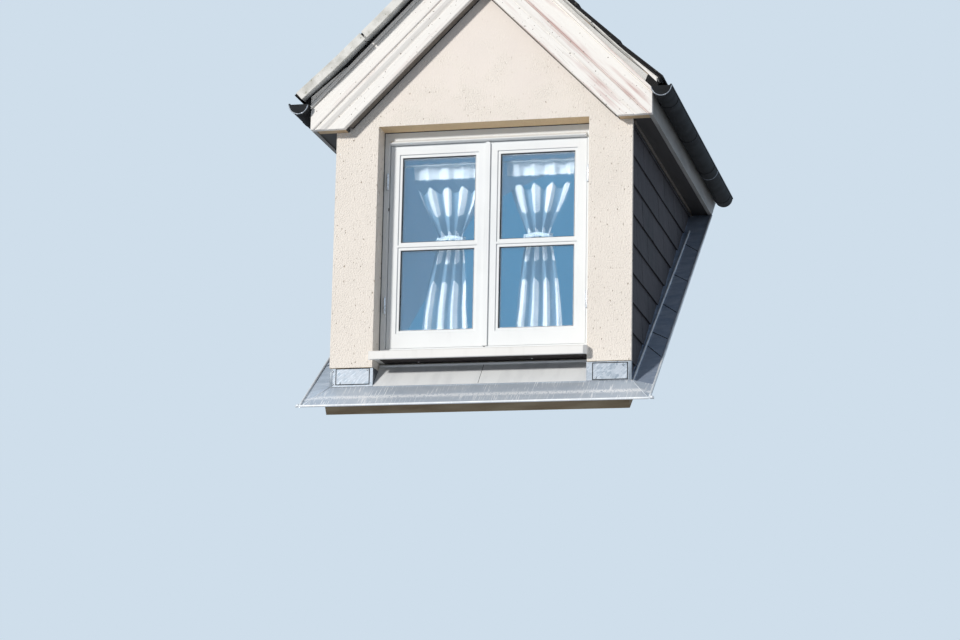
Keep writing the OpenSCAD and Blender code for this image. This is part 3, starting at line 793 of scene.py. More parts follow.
class Shape:
    """A mesh in the making, in metres, in the dormer's own frame."""

    def __init__(self) -> None:
        """Starts with nothing in it."""
        self.points: list[tuple[float, ...]] = []
        self.faces: list[tuple[int, ...]] = []
        self.tones: list[float] = []

    def add(self, points: Outline, faces: Iterable[Sequence[int]], tone: float = 0.0) -> None:
        """Adds points and the faces between them.

        Args:
            points: new points.
            faces: faces by the points' places in that list.
            tone: a number for the faces, which a finish may read.
        """
        start = len(self.points)
        self.points += [tuple(p) for p in points]
        for face in faces:
            self.faces.append(tuple(start + i for i in face))
            self.tones.append(tone)

    def between(
        self, low: Outline, high: Outline, tone: float = 0.0, edge: float | None = None
    ) -> None:
        """Adds the solid between two outlines of as many points.

        Args:
            low: the first outline.
            high: the second outline.
            tone: a number for the faces.
            edge: another number for all but the first outline's face.
        """
        count = len(low)
        sides = [(i, (i + 1) % count, (i + 1) % count + count, i + count) for i in range(count)]
        ends = [tuple(reversed(range(count))), tuple(range(count, 2 * count))]
        self.add([*low, *high], [*ends, *sides], tone)
        if edge is not None:
            self.tones[-count - 1 :] = [edge] * (count + 1)

    def drawn(self, outline: Outline, shift: Point) -> None:
        """Adds an outline drawn out by a shift."""
        self.between(outline, [Vector(p) + Vector(shift) for p in outline])

    def block(self, low: Point, high: Point) -> None:
        """Adds a squared length from its lowest to its highest corner."""
        (x0, y0, z0), (x1, y1, z1) = low, high
        self.drawn([(x0, y0, z0), (x1, y0, z0), (x1, y1, z0), (x0, y1, z0)], (0, 0, z1 - z0))

    def loops(
        self, rings: Sequence[Outline], closed: bool = False, caps: bool = True, tone: float = 0.0
    ) -> None:
        """Skins rings of as many points each.

        Args:
            rings: the rings, in order.
            closed: True if the last ring joins the first.
            caps: True if the first and last rings are filled.
            tone: a number for the faces.
        """
        count, total = len(rings[0]), len(rings)
        faces = []
        for r in range(total if closed else total - 1):
            here, above = r * count, (r + 1) % total * count
            for i in range(count):
                j = (i + 1) % count
                faces.append((here + i, here + j, above + j, above + i))
        if caps and not closed:
            last = (total - 1) * count
            faces += [tuple(reversed(range(count))), tuple(range(last, last + count))]
        self.add([p for ring in rings for p in ring], faces, tone)

    def tube(self, path: Outline, radius: float, sides: int = 12) -> None:
        """Adds a round bar along a path.

        Args:
            path: the points of its middle line.
            radius: its radius.
            sides: number of sides.
        """
        line = [Vector(p) for p in path]
        runs = [
            (line[min(i + 1, len(line) - 1)] - line[max(i - 1, 0)]).normalized()
            for i in range(len(line))
        ]
        first = Vector((0, 0, 1)) if abs(runs[0].z) < 0.9 else Vector((1, 0, 0))
        turns = [2 * math.pi * k / sides for k in range(sides)]
        rings = []
        for point, run in zip(line, runs):
            across = run.cross(first).normalized()
            first = across.cross(run).normalized()
            rings.append(
                [point + radius * (math.cos(t) * across + math.sin(t) * first) for t in turns]
            )
        self.loops(rings)

    def dome(self, centre: Point, radius: float, axis: Point, height: float) -> None:
        """Adds a screw or nail head: a low dome on a flat foot.

        Args:
            centre: the middle of its foot.
            radius: the foot's radius.
            axis: the way that it points.
            height: how far it stands out.
        """
        along = Vector(axis).normalized()
        side = along.orthogonal().normalized()
        up = along.cross(side)
        turns = [2 * math.pi * k / 12 for k in range(12)]
        rings = []
        for share in (0.0, 0.35, 0.7, 0.95):
            reach = radius * math.sqrt(1 - share * share)
            foot = Vector(centre) + along * height * share
            rings.append(
                [foot + reach * (math.cos(t) * side + math.sin(t) * up) for t in turns]
            )
        self.loops(rings)

    def ring(self, corners: Point, section: Outline) -> None:
        """Adds a mitred rectangular ring in an upright plane.

        Args:
            corners: lowest X, highest X, lowest Z and highest Z of the rectangle.
            section: pairs of the distance inside the rectangle and Y.
        """
        x0, x1, z0, z1 = corners
        inward = ((x0, 1, z0, 1), (x1, -1, z0, 1), (x1, -1, z1, -1), (x0, 1, z1, -1))
        rings = [[(x + a * d, y, z + b * d) for d, y in section] for x, a, z, b in inward]
        self.loops(rings, closed=True)

    def piece(
        self,
        name: str,
        finish: Finish,
        slot: Slot,
        stands_for: Sequence[str] = (),
        smooth: bool = False,
        arris: float = 0.0,
    ) -> bpy.types.Object:
        """Turns the shape into a piece that rides on the dormer.

        Args:
            name: the piece's name.
            finish: its surface.
            slot: the record's material slot.
            stands_for: the solids that it takes the place of.
            smooth: True if its faces are shaded as one curve.
            arris: radius worn on its edges, in metres.

        Returns:
            The piece.
        """
        mesh = bpy.data.meshes.new(name)
        mesh.from_pydata(self.points, [], self.faces)
        tones = mesh.attributes.new("tone", "FLOAT", "FACE")
        tones.data.foreach_set("value", self.tones)
        work = bmesh.new()
        work.from_mesh(mesh)
        bmesh.ops.recalc_face_normals(work, faces=work.faces)
        work.to_mesh(mesh)
        work.free()
        mesh.polygons.foreach_set("use_smooth", [smooth] * len(mesh.polygons))
        mesh.materials.append(finish.material())
        mesh.update()
        made = bpy.data.objects.new(name, mesh)
        bpy.context.scene.collection.objects.link(made)
        if arris:
            soften(made, arris)
        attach(made, ROOT)
        if stands_for:
            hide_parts(*stands_for)
        log.info("%s: %d faces, %s", name, len(mesh.polygons), finish.title())
        return made


def soften(piece: bpy.types.Object, arris: float, weld: bool = False) -> None:
    """Rounds a piece's edges a little.

    Args:
        piece: the piece.
        arris: the edges' radius, in metres.
        weld: True to join the points that lie on each other first.
    """
    if weld:
        piece.modifiers.new("weld", "WELD").merge_threshold = 1e-6
    bevel = piece.modifiers.new("arris", "BEVEL")
    bevel.width = arris
    bevel.segments = 2
    bevel.limit_method = "ANGLE"
    bevel.angle_limit = math.radians(28)


def dress(node: str, finish: Finish, arris: float = 0.0) -> None:
    """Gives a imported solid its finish.

    Args:
        node: the solid's name.
        finish: its surface.
        arris: radius worn on its edges, in metres.
    """
    solid = frame["nodes"][node]
    for held in solid.material_slots:
        held.link = "OBJECT"
        held.material = finish.material()
    if arris:
        soften(solid, arris, weld=True)
    log.info("%s: packed solid, %s", node, finish.title())


def clipped(outline: Outline, cuts: Sequence[Triple]) -> list[Pair]:
    """Cuts a flat outline back to a region.

    Args:
        outline: points of two numbers.
        cuts: for each edge (a, b, c), what has a * u + b * v up to c is kept.

    Returns:
        The points that are left, or an empty list.
    """
    left = [(float(p[0]), float(p[1])) for p in outline]
    for a, b, c in cuts:
        kept = []
        for i, (u, v) in enumerate(left):
            nu, nv = left[(i + 1) % len(left)]
            here, there = a * u + b * v - c, a * nu + b * nv - c
            if here <= 0:
                kept.append((u, v))
            if (here < 0 < there) or (there < 0 < here):
                share = here / (here - there)
                kept.append((u + share * (nu - u), v + share * (nv - v)))
        left = kept
    return left


@dataclass(frozen=True)
class Courses:
    """How slates are laid: gauge is from course to course, and step how far tails stand out."""

    gauge: float
    width: float
    seed: int
    thick: float = 0.0055
    step: float = 0.007
    reach: float = 1.2
    joint: float = 0.003

    def lay(
        self,
        shape: Shape,
        spot: Callable[[float, float, float], Point],
        start: Pair,
        end: Pair,
        cuts: Sequence[Triple],
    ) -> None:
        """Lays single slates in lapped courses, in half bond.

        Args:
            shape: the mesh that they are added to.
            spot: the place of a point along the course, up the slope and in depth.
            start: lowest along and up.
            end: highest along and up.
            cuts: edges of the region that is slated.
        """
        chance = random.Random(self.seed)
        for row in range(math.ceil((end[1] - start[1]) / self.gauge)):
            foot = start[1] + row * self.gauge
            left = start[0] - self.width * (0.5 if row % 2 else 1.0)
            left -= chance.uniform(0, 0.05) * self.width
            while left < end[0]:
                width = self.width * chance.uniform(0.965, 1.03)
                tail = [chance.uniform(-0.0018, 0.0018) for _ in range(2)]
                head = foot + self.reach * self.gauge
                near, far = left + self.joint / 2, left + width - self.joint / 2
                flat = [(near, foot + tail[0]), (far, foot + tail[1]), (far, head), (near, head)]
                lift = chance.uniform(0.0, 0.0008)
                tone = chance.random()
                left += width
                kept = clipped(flat, cuts)
                if len(kept) < 3:
                    continue
                rise = [lift + self.step * max(v - foot, 0) / self.gauge for _, v in kept]
                outer, inner = (
                    [spot(u, v, d + thick) for (u, v), d in zip(kept, rise)]
                    for thick in (0.0, self.thick)
                )
                shape.between(outer, inner, 0.12 + 0.45 * tone, CUT_EDGE)


# The dormer


@dataclass(frozen=True)
class Measures:
    """The dormer's sizes in metres, as its solids have them.

    Heights are over the seat, x is from the middle, and a depth is square to a gable slope,
    counted from the slates' upper faces.
    """

    pitch: float = math.radians(35)
    half_right: float = math.sqrt(0.5)
    roof_build: float = 0.060
    wall_x: float = 0.640
    render_t: float = 0.020
    open_x: float = 0.455
    foot_y: float = 0.007
    head_z: float = 1.226
    apex_z: float = 2.105
    eaves_z: float = 1.203603
    drip_x: float = 0.790
    verge_y: float = -0.148
    slate_t: float = 0.016
    slate_gauge: float = 0.250
    kick_h: float = 0.018
    board_low_d: float = 0.223
    frame_y: float = 0.098
    glass_x: Pair = (0.054, 0.375)
    glass_z: Pair = (0.359, 1.115)
    glass_y: Pair = (0.118, 0.138)
    bar_z: Pair = (0.708, 0.742)
    sill_under: float = 0.221
    flash_x: float = 0.733

    def on_main(self, x: float, run: float, height: float) -> Vector:
        """A point run up the main roof's slope and height square to it."""
        up, along = math.sin(self.pitch), math.cos(self.pitch)
        return Vector((x, run * along - height * up, run * up + height * along))

    def on_gable(self, side: Side, run: float, y: float, depth: float) -> Vector:
        """A point run down a gable slope from the ridge and depth under its slates."""
        r = self.half_right
        return Vector((side.value * r * (run - depth), y, self.apex_z - r * (run + depth)))

    def laid(self, side: Side, run: float, y: float, depth: float) -> Vector:
        """A point of the lifted slates, which tilt up over two courses at the eaves.

        Args:
            side: the half.
            run: distance down the slope from the ridge.
            y: its Y.
            depth: distance under the slates' upper faces.

        Returns:
            The point.
        """
        point = self.on_gable(side, run, y, depth)
        course = (self.drip_x - abs(point.x)) / (self.slate_gauge * self.half_right)
        kick = 1 - 0.75 * course if course < 1 else max(0.0, 0.25 * (2 - course))
        point.z += self.kick_h * kick / self.half_right
        return point


SIZES = Measures()


@dataclass
class RenderedFront:
    """The front wall with its two legs under the gable."""

    finish: Finish = RoughcastRender()

    def build(self) -> None:
        """Dresses the wall."""
        dress("front_wall", self.finish, 0.002)


@dataclass
class Carcass:
    """The timbers inside, which show from below and behind."""

    across: Finish = SawnSoftwood("SpruceAcross", "#a8967b", "#806b50", (14, 2, 2))
    upward: Finish = SawnSoftwood("SpruceUpSlope", along=(1.5, 14, 10))
    boards: Finish = SawnSoftwood("SpruceBoarding", "#b3956c", "#8c6d48", (1.5, 16, 1.5))
    plaster: Finish = PlasterBluedForSkyReflection()

    def build(self) -> None:
        """Dresses each timber with its grain along it, and the lining with paint."""
        dress("sole_trimmer", self.across, 0.0015)
        dress("ridge_board", self.upward, 0.0015)
        for side in Side:
            for timber in ("sole_plate", "cheek_wall", "lay_board"):
                dress(f"{timber}_{side.word}", self.upward)
            dress(f"rafters_{side.word}", self.across, 0.0015)
            dress(f"roof_deck_{side.word}", self.boards)
            dress(f"lining_{side.word}", self.plaster)


@dataclass
class SlatedRoof:
    """Single slates on both gable slopes, and the cap on the ridge."""

    courses: Courses = Courses(gauge=0.250, width=0.30, seed=11)
    finish: Finish = RivenSlate("RoofSlate", "#1b191a", "#7d8591", "#a3a294", 0.3, 0.5)
    zinc: Finish = RolledZinc("RidgeZinc", "#bcc5ce", "#fafbfc", "#a0abb7", turn=0.0, scratched=0.3)
    cap_length: float = 1.0
    cap_runs: Pair = (0.012, 0.110)
    cap_end: float = 2.6
    lap: float = 0.014
    lap_d: Pair = (-0.0032, -0.0054)
    back_y: float = 2.9
    slip_y: Pair = (-0.141, -0.07)
    slip_top: float = 1.09
    play: float = 0.004

    def build(self) -> None:
        """Lays the slopes and laps the cap."""
        for side in Side:
            self.slope(side)
        dress("ridge_cap", self.zinc)
        self.laps()

    def slope(self, side: Side) -> None:
        """Lays one slope from the drip up to the ridge, cut on the valley.

        Args:
            side: the half.
        """
        left = side is Side.LEFT
        drip_run = SIZES.drip_x / SIZES.half_right
        low_z = SIZES.apex_z - SIZES.drip_x
        slope = math.tan(SIZES.pitch)
        clear = (SIZES.roof_build + SIZES.slate_t) / math.cos(SIZES.pitch)
        cuts: list[Triple] = [
            (1.0, -SIZES.half_right / slope, (low_z - clear) / slope - self.play),
            (-1.0, 0.0, -SIZES.verge_y - (0.006 if left else 0.0)),
            (0.0, 1.0, drip_run - self.play),
            (0.0, -1.0, 0.0),
        ]

        def spot(along: float, up: float, depth: float) -> Vector:
            """A point of the slope."""
            return SIZES.laid(side, drip_run - up, along, depth)

        shape = Shape()
        self.courses.lay(shape, spot, (SIZES.verge_y, 0.0), (self.back_y, drip_run), cuts)
        for row in range(5):  # slips under the tails close the lap at the verge
            low = row * self.courses.gauge + self.play
            high = min((row + 1) * self.courses.gauge, self.slip_top)
            front, back = self.slip_y
            flat = [(front, low), (front, high), (back, high), (back, low)]
            low_d = SIZES.slate_t + (0.0 if left else 0.0023)
            faces = [[spot(y, up, d) for y, up in flat] for d in (SIZES.slate_t - 0.006, low_d)]
            shape.between(*faces, CUT_EDGE)
        name = f"roof_slates_{side.word}"
        shape.piece(f"slates_of_{side.word}_slope", self.finish, Slot.SLATE, [name])

    def laps(self) -> None:
        """Each length of cap laps the next with a thin folded edge."""
        shape = Shape()
        y = SIZES.verge_y + self.cap_length
        while y < self.cap_end:
            for side in Side:
                near, far = self.cap_runs
                edge = ((near, y), (far, y), (far, y + self.lap), (near, y + self.lap))
                faces = [[SIZES.on_gable(side, r, at, d) for r, at in edge] for d in self.lap_d]
                shape.between(*faces)
            y += self.cap_length
        shape.piece("ridge_cap_laps", self.zinc, Slot.ZINC)


@dataclass
class SlatedCheeks:
    """Slates hung on both side walls, with a trim under the soffits."""

    courses: Courses = Courses(gauge=0.125, width=0.27, seed=5)
    finish: Finish = RivenSlate()
    trim: Finish = PaintedBoard("BrownCheekTrim", "#6d6156", "#3c352f", 0.6)
    foot_z: float = 0.060
    over_roof: float = 0.042  # from the main roof's slates up to the cut edge
    lowered: float = 0.016  # how much lower the cut edge hangs than the solid's
    play: float = 0.001
    back: Pair = (1.7, 1.2)
    trim_t: float = 0.007
    trim_z: Pair = (-0.009, 0.003)

    def build(self) -> None:
        """Hangs both sides."""
        for side in Side:
            self.cheek(side)

    def cheek(self, side: Side) -> None:
        """Hangs one side, cut on the flashing and under the soffit.

        Args:
            side: the half.
        """
        slope = math.tan(SIZES.pitch)
        low = SIZES.roof_build / math.cos(SIZES.pitch) + self.over_roof
        cuts: list[Triple] = [
            (-1.0, 0.0, -(SIZES.render_t + self.play)),
            (slope, -1.0, self.foot_z - low + self.lowered),
            (0.0, 1.0, SIZES.eaves_z + self.trim_z[1] - self.foot_z),
        ]

        def spot(along: float, up: float, depth: float) -> Vector:
            """A point of the cheek."""
            x = side.value * (SIZES.wall_x - self.play - depth)
            return Vector((x, along, self.foot_z + up))

        shape = Shape()
        self.courses.lay(shape, spot, (SIZES.render_t, 0.0), self.back, cuts)
        name = f"cheek_slates_{side.word}"
        shape.piece(f"slates_of_{side.word}_cheek", self.finish, Slot.SLATE, [name])
        strip = Shape()
        x = side.span(SIZES.wall_x, SIZES.wall_x + self.trim_t)
        z = [SIZES.eaves_z + level for level in self.trim_z]
        tip = (SIZES.eaves_z - low) / slope - 0.02
        strip.block((x[0], SIZES.render_t, z[0]), (x[1], tip, z[1]))
        strip.piece(f"cheek_trim_{side.word}", self.trim, Slot.GREY_TIMBER, arris=0.0008)


@dataclass
class Verge:
    """One boxed verge: the moulded board, its soffit, and what lies between board and slates."""

    side: Side
    paint: Finish = WeatheredGloss()
    boxing: Finish = PaintedBoard("VergeSoffitPaint", "#6f675f", "#453d36", 0.5)
    cloak: Finish = FibreCement()
    # painted shadow: black felt for the shaded gap strips, and for the dark wall joint
    felt: Finish = RubberGasket("BlackFeltForJointAndShadow", "#0d0c0c", "#1b1a19")
    strip_paint: Finish = PaintedBoard("CoverStripPaint", "#cfcecb", "#9d9b98", 0.4)
    cloak_length: float = 0.33
    cloak_joint: float = 0.008
    cloak_y: Pair = (-0.142, -0.068)
    edge_y: Pair = (-0.148, -0.1425)
    edge_depth: float = 0.0365
    board_d: float = 0.0415  # depth of the moulded board's upper edge
    strip_back: float = -0.0684
    foot_run: float = 1.105
    bows: Pair = (0.006, 0.02)
    sags: Pair = (0.001, 0.003)
    shortest: float = 0.12

    def build(self) -> None:
        """Dresses the boards and adds what lies over them."""
        word = self.side.word
        dress(f"bargeboard_{word}", self.paint, 0.0014)
        dress(f"verge_soffit_{word}", self.boxing, 0.001)
        self.undercloak()
        self.cover_strip()
        self.wedge()
        self.wall_joint()

    def ribbon(
        self, shape: Shape, runs: Iterable[float], y: Point, top: Callable, low: Callable
    ) -> None:
        """Adds a bar along the slope.

        Args:
            shape: the mesh that it is added to.
            runs: distances down the slope from the ridge.
            y: its front and back.
            top: gives a point of its upper face from run and y.
            low: gives a point of its lower face from run and y.
        """
        shape.loops([[top(r, y[0]), low(r, y[0]), low(r, y[1]), top(r, y[1])] for r in runs])

    def laid(self, depth: float) -> Callable[[float, float], Vector]:
        """Gives the points at a depth under the lifted slates."""
        return lambda run, y: SIZES.laid(self.side, run, y, depth)

    def level(self, depth: float) -> Callable[[float, float], Vector]:
        """Gives the points at a depth on the straight slope."""
        return lambda run, y: SIZES.on_gable(self.side, run, y, depth)

    def undercloak(self) -> None:
        """Short lengths of board, a little bowed and sagging, that show at their joints.

        On the left they turn up in front of the slates' edges.
        """
        chance = random.Random(21 + self.side.value)
        shape, edges = Shape(), Shape()
        left = self.side is Side.LEFT
        top_d = SIZES.slate_t + (0.0 if left else 0.0025)
        thick = 0.0062 if left else 0.004
        start, bow_before = 0.030, 0.0
        share = np.linspace(0.0, 1.0, 7)
        y = [self.cloak_y[0] + v * (self.cloak_y[1] - self.cloak_y[0]) for v in share]
        while start < self.foot_run:
            stop = min(start + self.cloak_length * chance.uniform(0.8, 1.2), self.foot_run)
            if self.foot_run - stop < self.shortest:
                stop = self.foot_run
            bow = 0.0 if stop == self.foot_run else chance.uniform(*self.bows)
            sag = chance.uniform(*self.sags)
            first = start + self.cloak_joint
            rings = []
            for along in np.linspace(0, 1, 11):
                drop = sag * math.sin(math.pi * along) ** 2
                runs = [
                    (1 - along) * (first + bow_before * math.sin(math.pi * v))
                    + along * (stop + bow * math.sin(math.pi * v))
                    for v in share
                ]
                low, top = (
                    [self.laid(top_d + under + drop)(a, b) for a, b in zip(runs, y)]
                    for under in (thick, 0.0002)
                )
                rings.append([*low, *reversed(top)])
            shape.loops(rings, tone=chance.random())
            if left:
                runs = np.linspace(first, stop, 9)
                faces = self.laid(-0.0004), self.laid(self.edge_depth)
                self.ribbon(edges, runs, self.edge_y, *faces)
            start, bow_before = stop, bow
        word, slot = self.side.word, Slot.CEMENT_BOARD
        shape.piece(f"undercloak_lengths_{word}", self.cloak, slot, [f"undercloak_{word}"])
        if left:
            edges.piece(f"verge_edging_{word}", self.cloak, slot, arris=0.001)

    def cover_strip(self) -> None:
        """A strip set back between undercloak and board, over the ends of the battens; black on the
        left as painted shadow, and a black strip at the foot as painted shadow of the hollow there.
        """
        # painted shadow: the left strip is black, the right one pale
        front = self.felt if self.side is Side.LEFT else self.strip_paint
        for name, finish, runs, y, depth in (
            ("cover_strip", front, np.linspace(0.06, 1.036, 24), -0.0745, 0.0256),
            ("foot_shadow_black", self.felt, np.linspace(1.037, 1.098, 6), -0.0760, 0.0225),
        ):
            shape = Shape()
            faces = self.laid(depth), self.level(self.board_d)
            self.ribbon(shape, runs, (y, self.strip_back), *faces)
            name = f"verge_{name}_{self.side.word}"
            shape.piece(name, finish, Slot.GREY_TIMBER, arris=0.0006)

    def wall_joint(self) -> None:
        """The dark joint between the boxing and the wall."""
        shape = Shape()
        low = SIZES.board_low_d
        faces = self.level(low - 0.001), self.level(low + 0.0006)
        self.ribbon(shape, np.linspace(low + 0.01, 1.026, 24), (-0.011, -0.0005), *faces)
        shape.piece(f"verge_joint_{self.side.word}", self.felt, Slot.GREY_TIMBER)

    def wedge(self) -> None:
        """A white tapered fillet that fills the kick at the foot."""
        shape = Shape()
        left = self.side is Side.LEFT
        runs = np.linspace(0.86, 1.075, 12) if left else np.linspace(0.93, 1.1, 12)
        base = self.level(0.0395) if left else self.laid(SIZES.slate_t + 0.0062)

        def taper(run: float, y: float) -> Vector:
            """The fillet's free face, which leaves its base towards the foot."""
            height = 0.001 + (run - runs[0]) / (runs[-1] - runs[0]) * 0.020
            return base(run, y) + Vector((0, 0, (1.4 if left else -0.8) * height))

        if left:
            self.ribbon(shape, runs, (-0.0865, -0.0755), taper, base)
        else:
            self.ribbon(shape, runs, (-0.1415, -0.134), base, taper)
        shape.piece(f"verge_wedge_{self.side.word}", self.paint, Slot.WHITE_TIMBER, arris=0.0006)


@dataclass
class Eaves:
    """One eave: the fascia, the soffit and the half round gutter."""

    side: Side
    fascia: Finish = PaintedBoard()
    soffit: Finish = PaintedBoard("SoffitPaint", "#3f3a36", "#242120", 0.7)
    gutter: Finish = RolledZinc(
        "GutterZinc", "#101214", "#2c3136", "#0a0b0c", 1.57, 0.0045, 0.15, 0.8, clean=0.0
    )
    bead: Finish = RolledZinc("BeadZinc", "#9aa1a8", "#dfe4e8", "#767d85", roughness=0.4)
    # a tan block at the soffit's front return
    closure: Finish = PaintedBoard("TanSoffitEdge", "#c7ab86", "#8b7354", 0.4)
    rim: Pair = (0.8193, 1.3085)
    rim_y: Pair = (-0.119, 1.700)
    rim_r: float = 0.0034
    bowl: Pair = (0.7785, 1.3075)
    bowl_r: Pair = (0.0418, 0.0426)
    strap_y: Pair = (-0.1185, 1.2)
    strap_r: float = 0.0024
    return_x: Pair = (0.588, 0.715)
    return_y: Pair = (-0.0515, -0.001)
    return_z: Pair = (1.2066, 1.2078)

    def build(self) -> None:
        """Dresses the eave and adds the gutter's bead and the soffit's return."""
        word = self.side.word
        dress(f"fascia_{word}", self.fascia, 0.0014)
        dress(f"soffit_{word}", self.soffit)
        dress(f"gutter_{word}", self.gutter)
        sign = self.side.value
        bead = Shape()
        x, z = self.rim
        bead.tube([(sign * x, y, z) for y in np.linspace(*self.rim_y, 30)], self.rim_r)
        (x, z), (wide, deep) = self.bowl, self.bowl_r
        for y in self.strap_y:
            turns = np.linspace(0.02, math.pi - 0.1, 20)
            strap = [(sign * (x + wide * math.cos(t)), y, z - deep * math.sin(t)) for t in turns]
            bead.tube(strap, self.strap_r, sides=8)
        bead.piece(f"gutter_bead_{word}", self.bead, Slot.ZINC, smooth=True)
        under = Shape()
        under.block(*zip(self.side.span(*self.return_x), self.return_y, self.return_z))
        under.piece(f"soffit_return_{word}", self.closure, Slot.GREY_TIMBER)


@dataclass
class Zincwork:
    """The flashings round the foot, the corner plates and the valleys."""

    # painted highlight: the apron's band of bright specks stands for sun glints
    apron: Finish = RolledZinc(scratched=1.0, band=-0.052)
    lit: Finish = RolledZinc("SideZinc", "#dbe1e7", "#fafbfc", "#bfc8d1", 1.3, scratched=0.6)
    shaded: Finish = RolledZinc(
        "ShadedSideZinc", "#b8c3d4", "#dbe2ea", "#95a3b7", 1.3, scratched=0.3
    )
    # painted highlight: near-white, little metallic zinc for the rolls, hips and fold, standing for
    # sun glints
    roll: Finish = RolledZinc("PaintedGlintZinc", "#f1f4f6", "#ffffff", "#dde2e6", clean=0.15)
    plates: Finish = SpangledSteel()
    cover: Finish = RolledZinc("PlateEdgeZinc", "#8f979f", "#c3c9ce", "#747d86", roughness=0.55)
    sealant: Finish = RubberGasket("CornerSealant", "#131416", "#292b2d")
    rivet: Finish = SatinMetal("RivetAluminium", "#8f9295", "#55585b", 0.45)
    panel: Finish = CoatedSteel()
    roll_r: float = 0.0053
    apron_roll: Triple = (0.7505, -0.100, 0.00825)
    panel_roll: Triple = (0.4515, 0.1075, 0.2095)
    side_roll: Triple = (-0.074, 1.99, 0.065)
    knob: Triple = (0.741, -0.0985, 0.0095)
    knob_r: float = 0.0088
    hip: tuple[Point, Point] = ((0.640, 0.010, 0.1055), (0.7295, -0.099, 0.0062))
    hip_r: float = 0.0014
    lap_x: Pair = (0.650, 0.724)
    lap_height: float = 0.0628
    fold: Triple = (0.6395, 0.0145, 0.0655)
    fold_run: Pair = (0.05, 1.75)
    faces: dict[Side, Four] = field(
        default_factory=lambda: {
            Side.LEFT: (-0.611, -0.469, 0.116, 0.181),
            Side.RIGHT: (0.480, 0.622, 0.110, 0.177),
        }
    )
    lap_runs: tuple[Pair, ...] = (  # of each slanted lap, at its inner and outer end
        (0.449, 0.329),
        (0.597, 0.521),
        (0.911, 0.810),
        (1.260, 1.172),
        (1.641, 1.538),
    )
    rivets: tuple[Pair, ...] = (
        (-0.626, 0.172),
        (-0.626, 0.117),
        (-0.476, 0.175),
        (-0.593, 0.121),
        (0.606, 0.168),
        (0.493, 0.116),
    )

    def build(self) -> None:
        """Dresses the sheets and adds their rolls, seams and fixings."""
        dress("apron_flashing", self.apron)
        dress("under_sill_panel", self.panel)
        for side in Side:
            sheet = self.lit if side is Side.LEFT else self.shaded
            dress(f"corner_plate_{side.word}", self.plates, 0.0008)
            dress(f"side_flashing_{side.word}", sheet)
            dress(f"valley_flashing_{side.word}", self.lit)
            self.laps(side, sheet)
            self.plate(side)
        self.rolls()
        self.seams()

    def rolls(self) -> None:
        """The rolled edges, drawn bright as painted highlight, and the panel's rolled top."""
        shape, top = Shape(), Shape()
        reach, y, z = self.apron_roll
        shape.tube([(x, y, z) for x in np.linspace(-reach, reach, 60)], self.roll_r)
        low, high, height = self.side_roll
        x, y, z = self.knob
        for s in (-1, 1):
            runs = np.linspace(low, high, 60)
            shape.tube([SIZES.on_main(s * SIZES.flash_x, r, height) for r in runs], self.roll_r)
            shape.dome((s * x, y, z), self.knob_r, (0, -0.5, 1), self.knob_r)
        shape.piece("flashing_rolls", self.roll, Slot.ZINC, smooth=True)
        reach, y, z = self.panel_roll
        top.tube([(x, y, z) for x in np.linspace(-reach, reach, 40)], 0.0054)
        top.piece("panel_roll", self.panel, Slot.WHITE_METAL, smooth=True)

    def seams(self) -> None:
        """The folded hips of the apron and the panel's butt joint."""
        shape, joint = Shape(), Shape()
        for s in (-1, 1):
            # the hips are drawn in the painted highlight zinc
            shape.tube([(s * x, y, z) for x, y, z in self.hip], self.hip_r)
        shape.piece("apron_hips", self.roll, Slot.ZINC, smooth=True)
        section = ((-0.0028, -0.0004), (-0.0012, -0.0004), (-0.0012, 0.001), (-0.0028, 0.001))
        ends = [[(x, z - 0.0992 + d, z) for x, d in section] for z in (0.1075, 0.204)]
        joint.between(*ends)
        joint.piece("panel_joint", self.sealant, Slot.DARK_ZINC)

    def laps(self, side: Side, zinc: Finish) -> None:
        """Where lengths of the side flashing lap, cut at a slant, each with a dark line of painted
        shadow at its edge, and its inner fold.

        Args:
            side: the half.
            zinc: the flashing's finish.
        """
        sheet, joints, fold = Shape(), Shape(), Shape()
        near, far = (side.value * x for x in self.lap_x)
        for inner, outer in self.lap_runs:
            # painted shadow: a dark line along each lap's lower edge
            for shape, start, stop, rise in (
                (sheet, 0.006, 0.018, 0.0014),
                (joints, 0.0, 0.006, 0.0009),
            ):
                slant = ((near, inner + start), (far, outer + start))
                slant += ((far, outer + stop), (near, inner + stop))
                flat = [SIZES.on_main(x, run, self.lap_height) for x, run in slant]
                shape.drawn(flat, SIZES.on_main(0, 0, rise))
        sheet.piece(f"flashing_laps_{side.word}", zinc, Slot.ZINC)
        joints.piece(f"flashing_joints_{side.word}", self.sealant, Slot.DARK_ZINC)
        (x, out, height), (run, length) = self.fold, self.fold_run
        line = [
            SIZES.on_main(side.value * (x + out * share), run + length * share, height)
            for share in np.linspace(0, 1, 30)
        ]
        # the inner fold is drawn in the painted highlight zinc
        fold.tube(line, 0.0045, sides=10)
        fold.piece(f"flashing_fold_{side.word}", self.roll, Slot.ZINC, smooth=True)

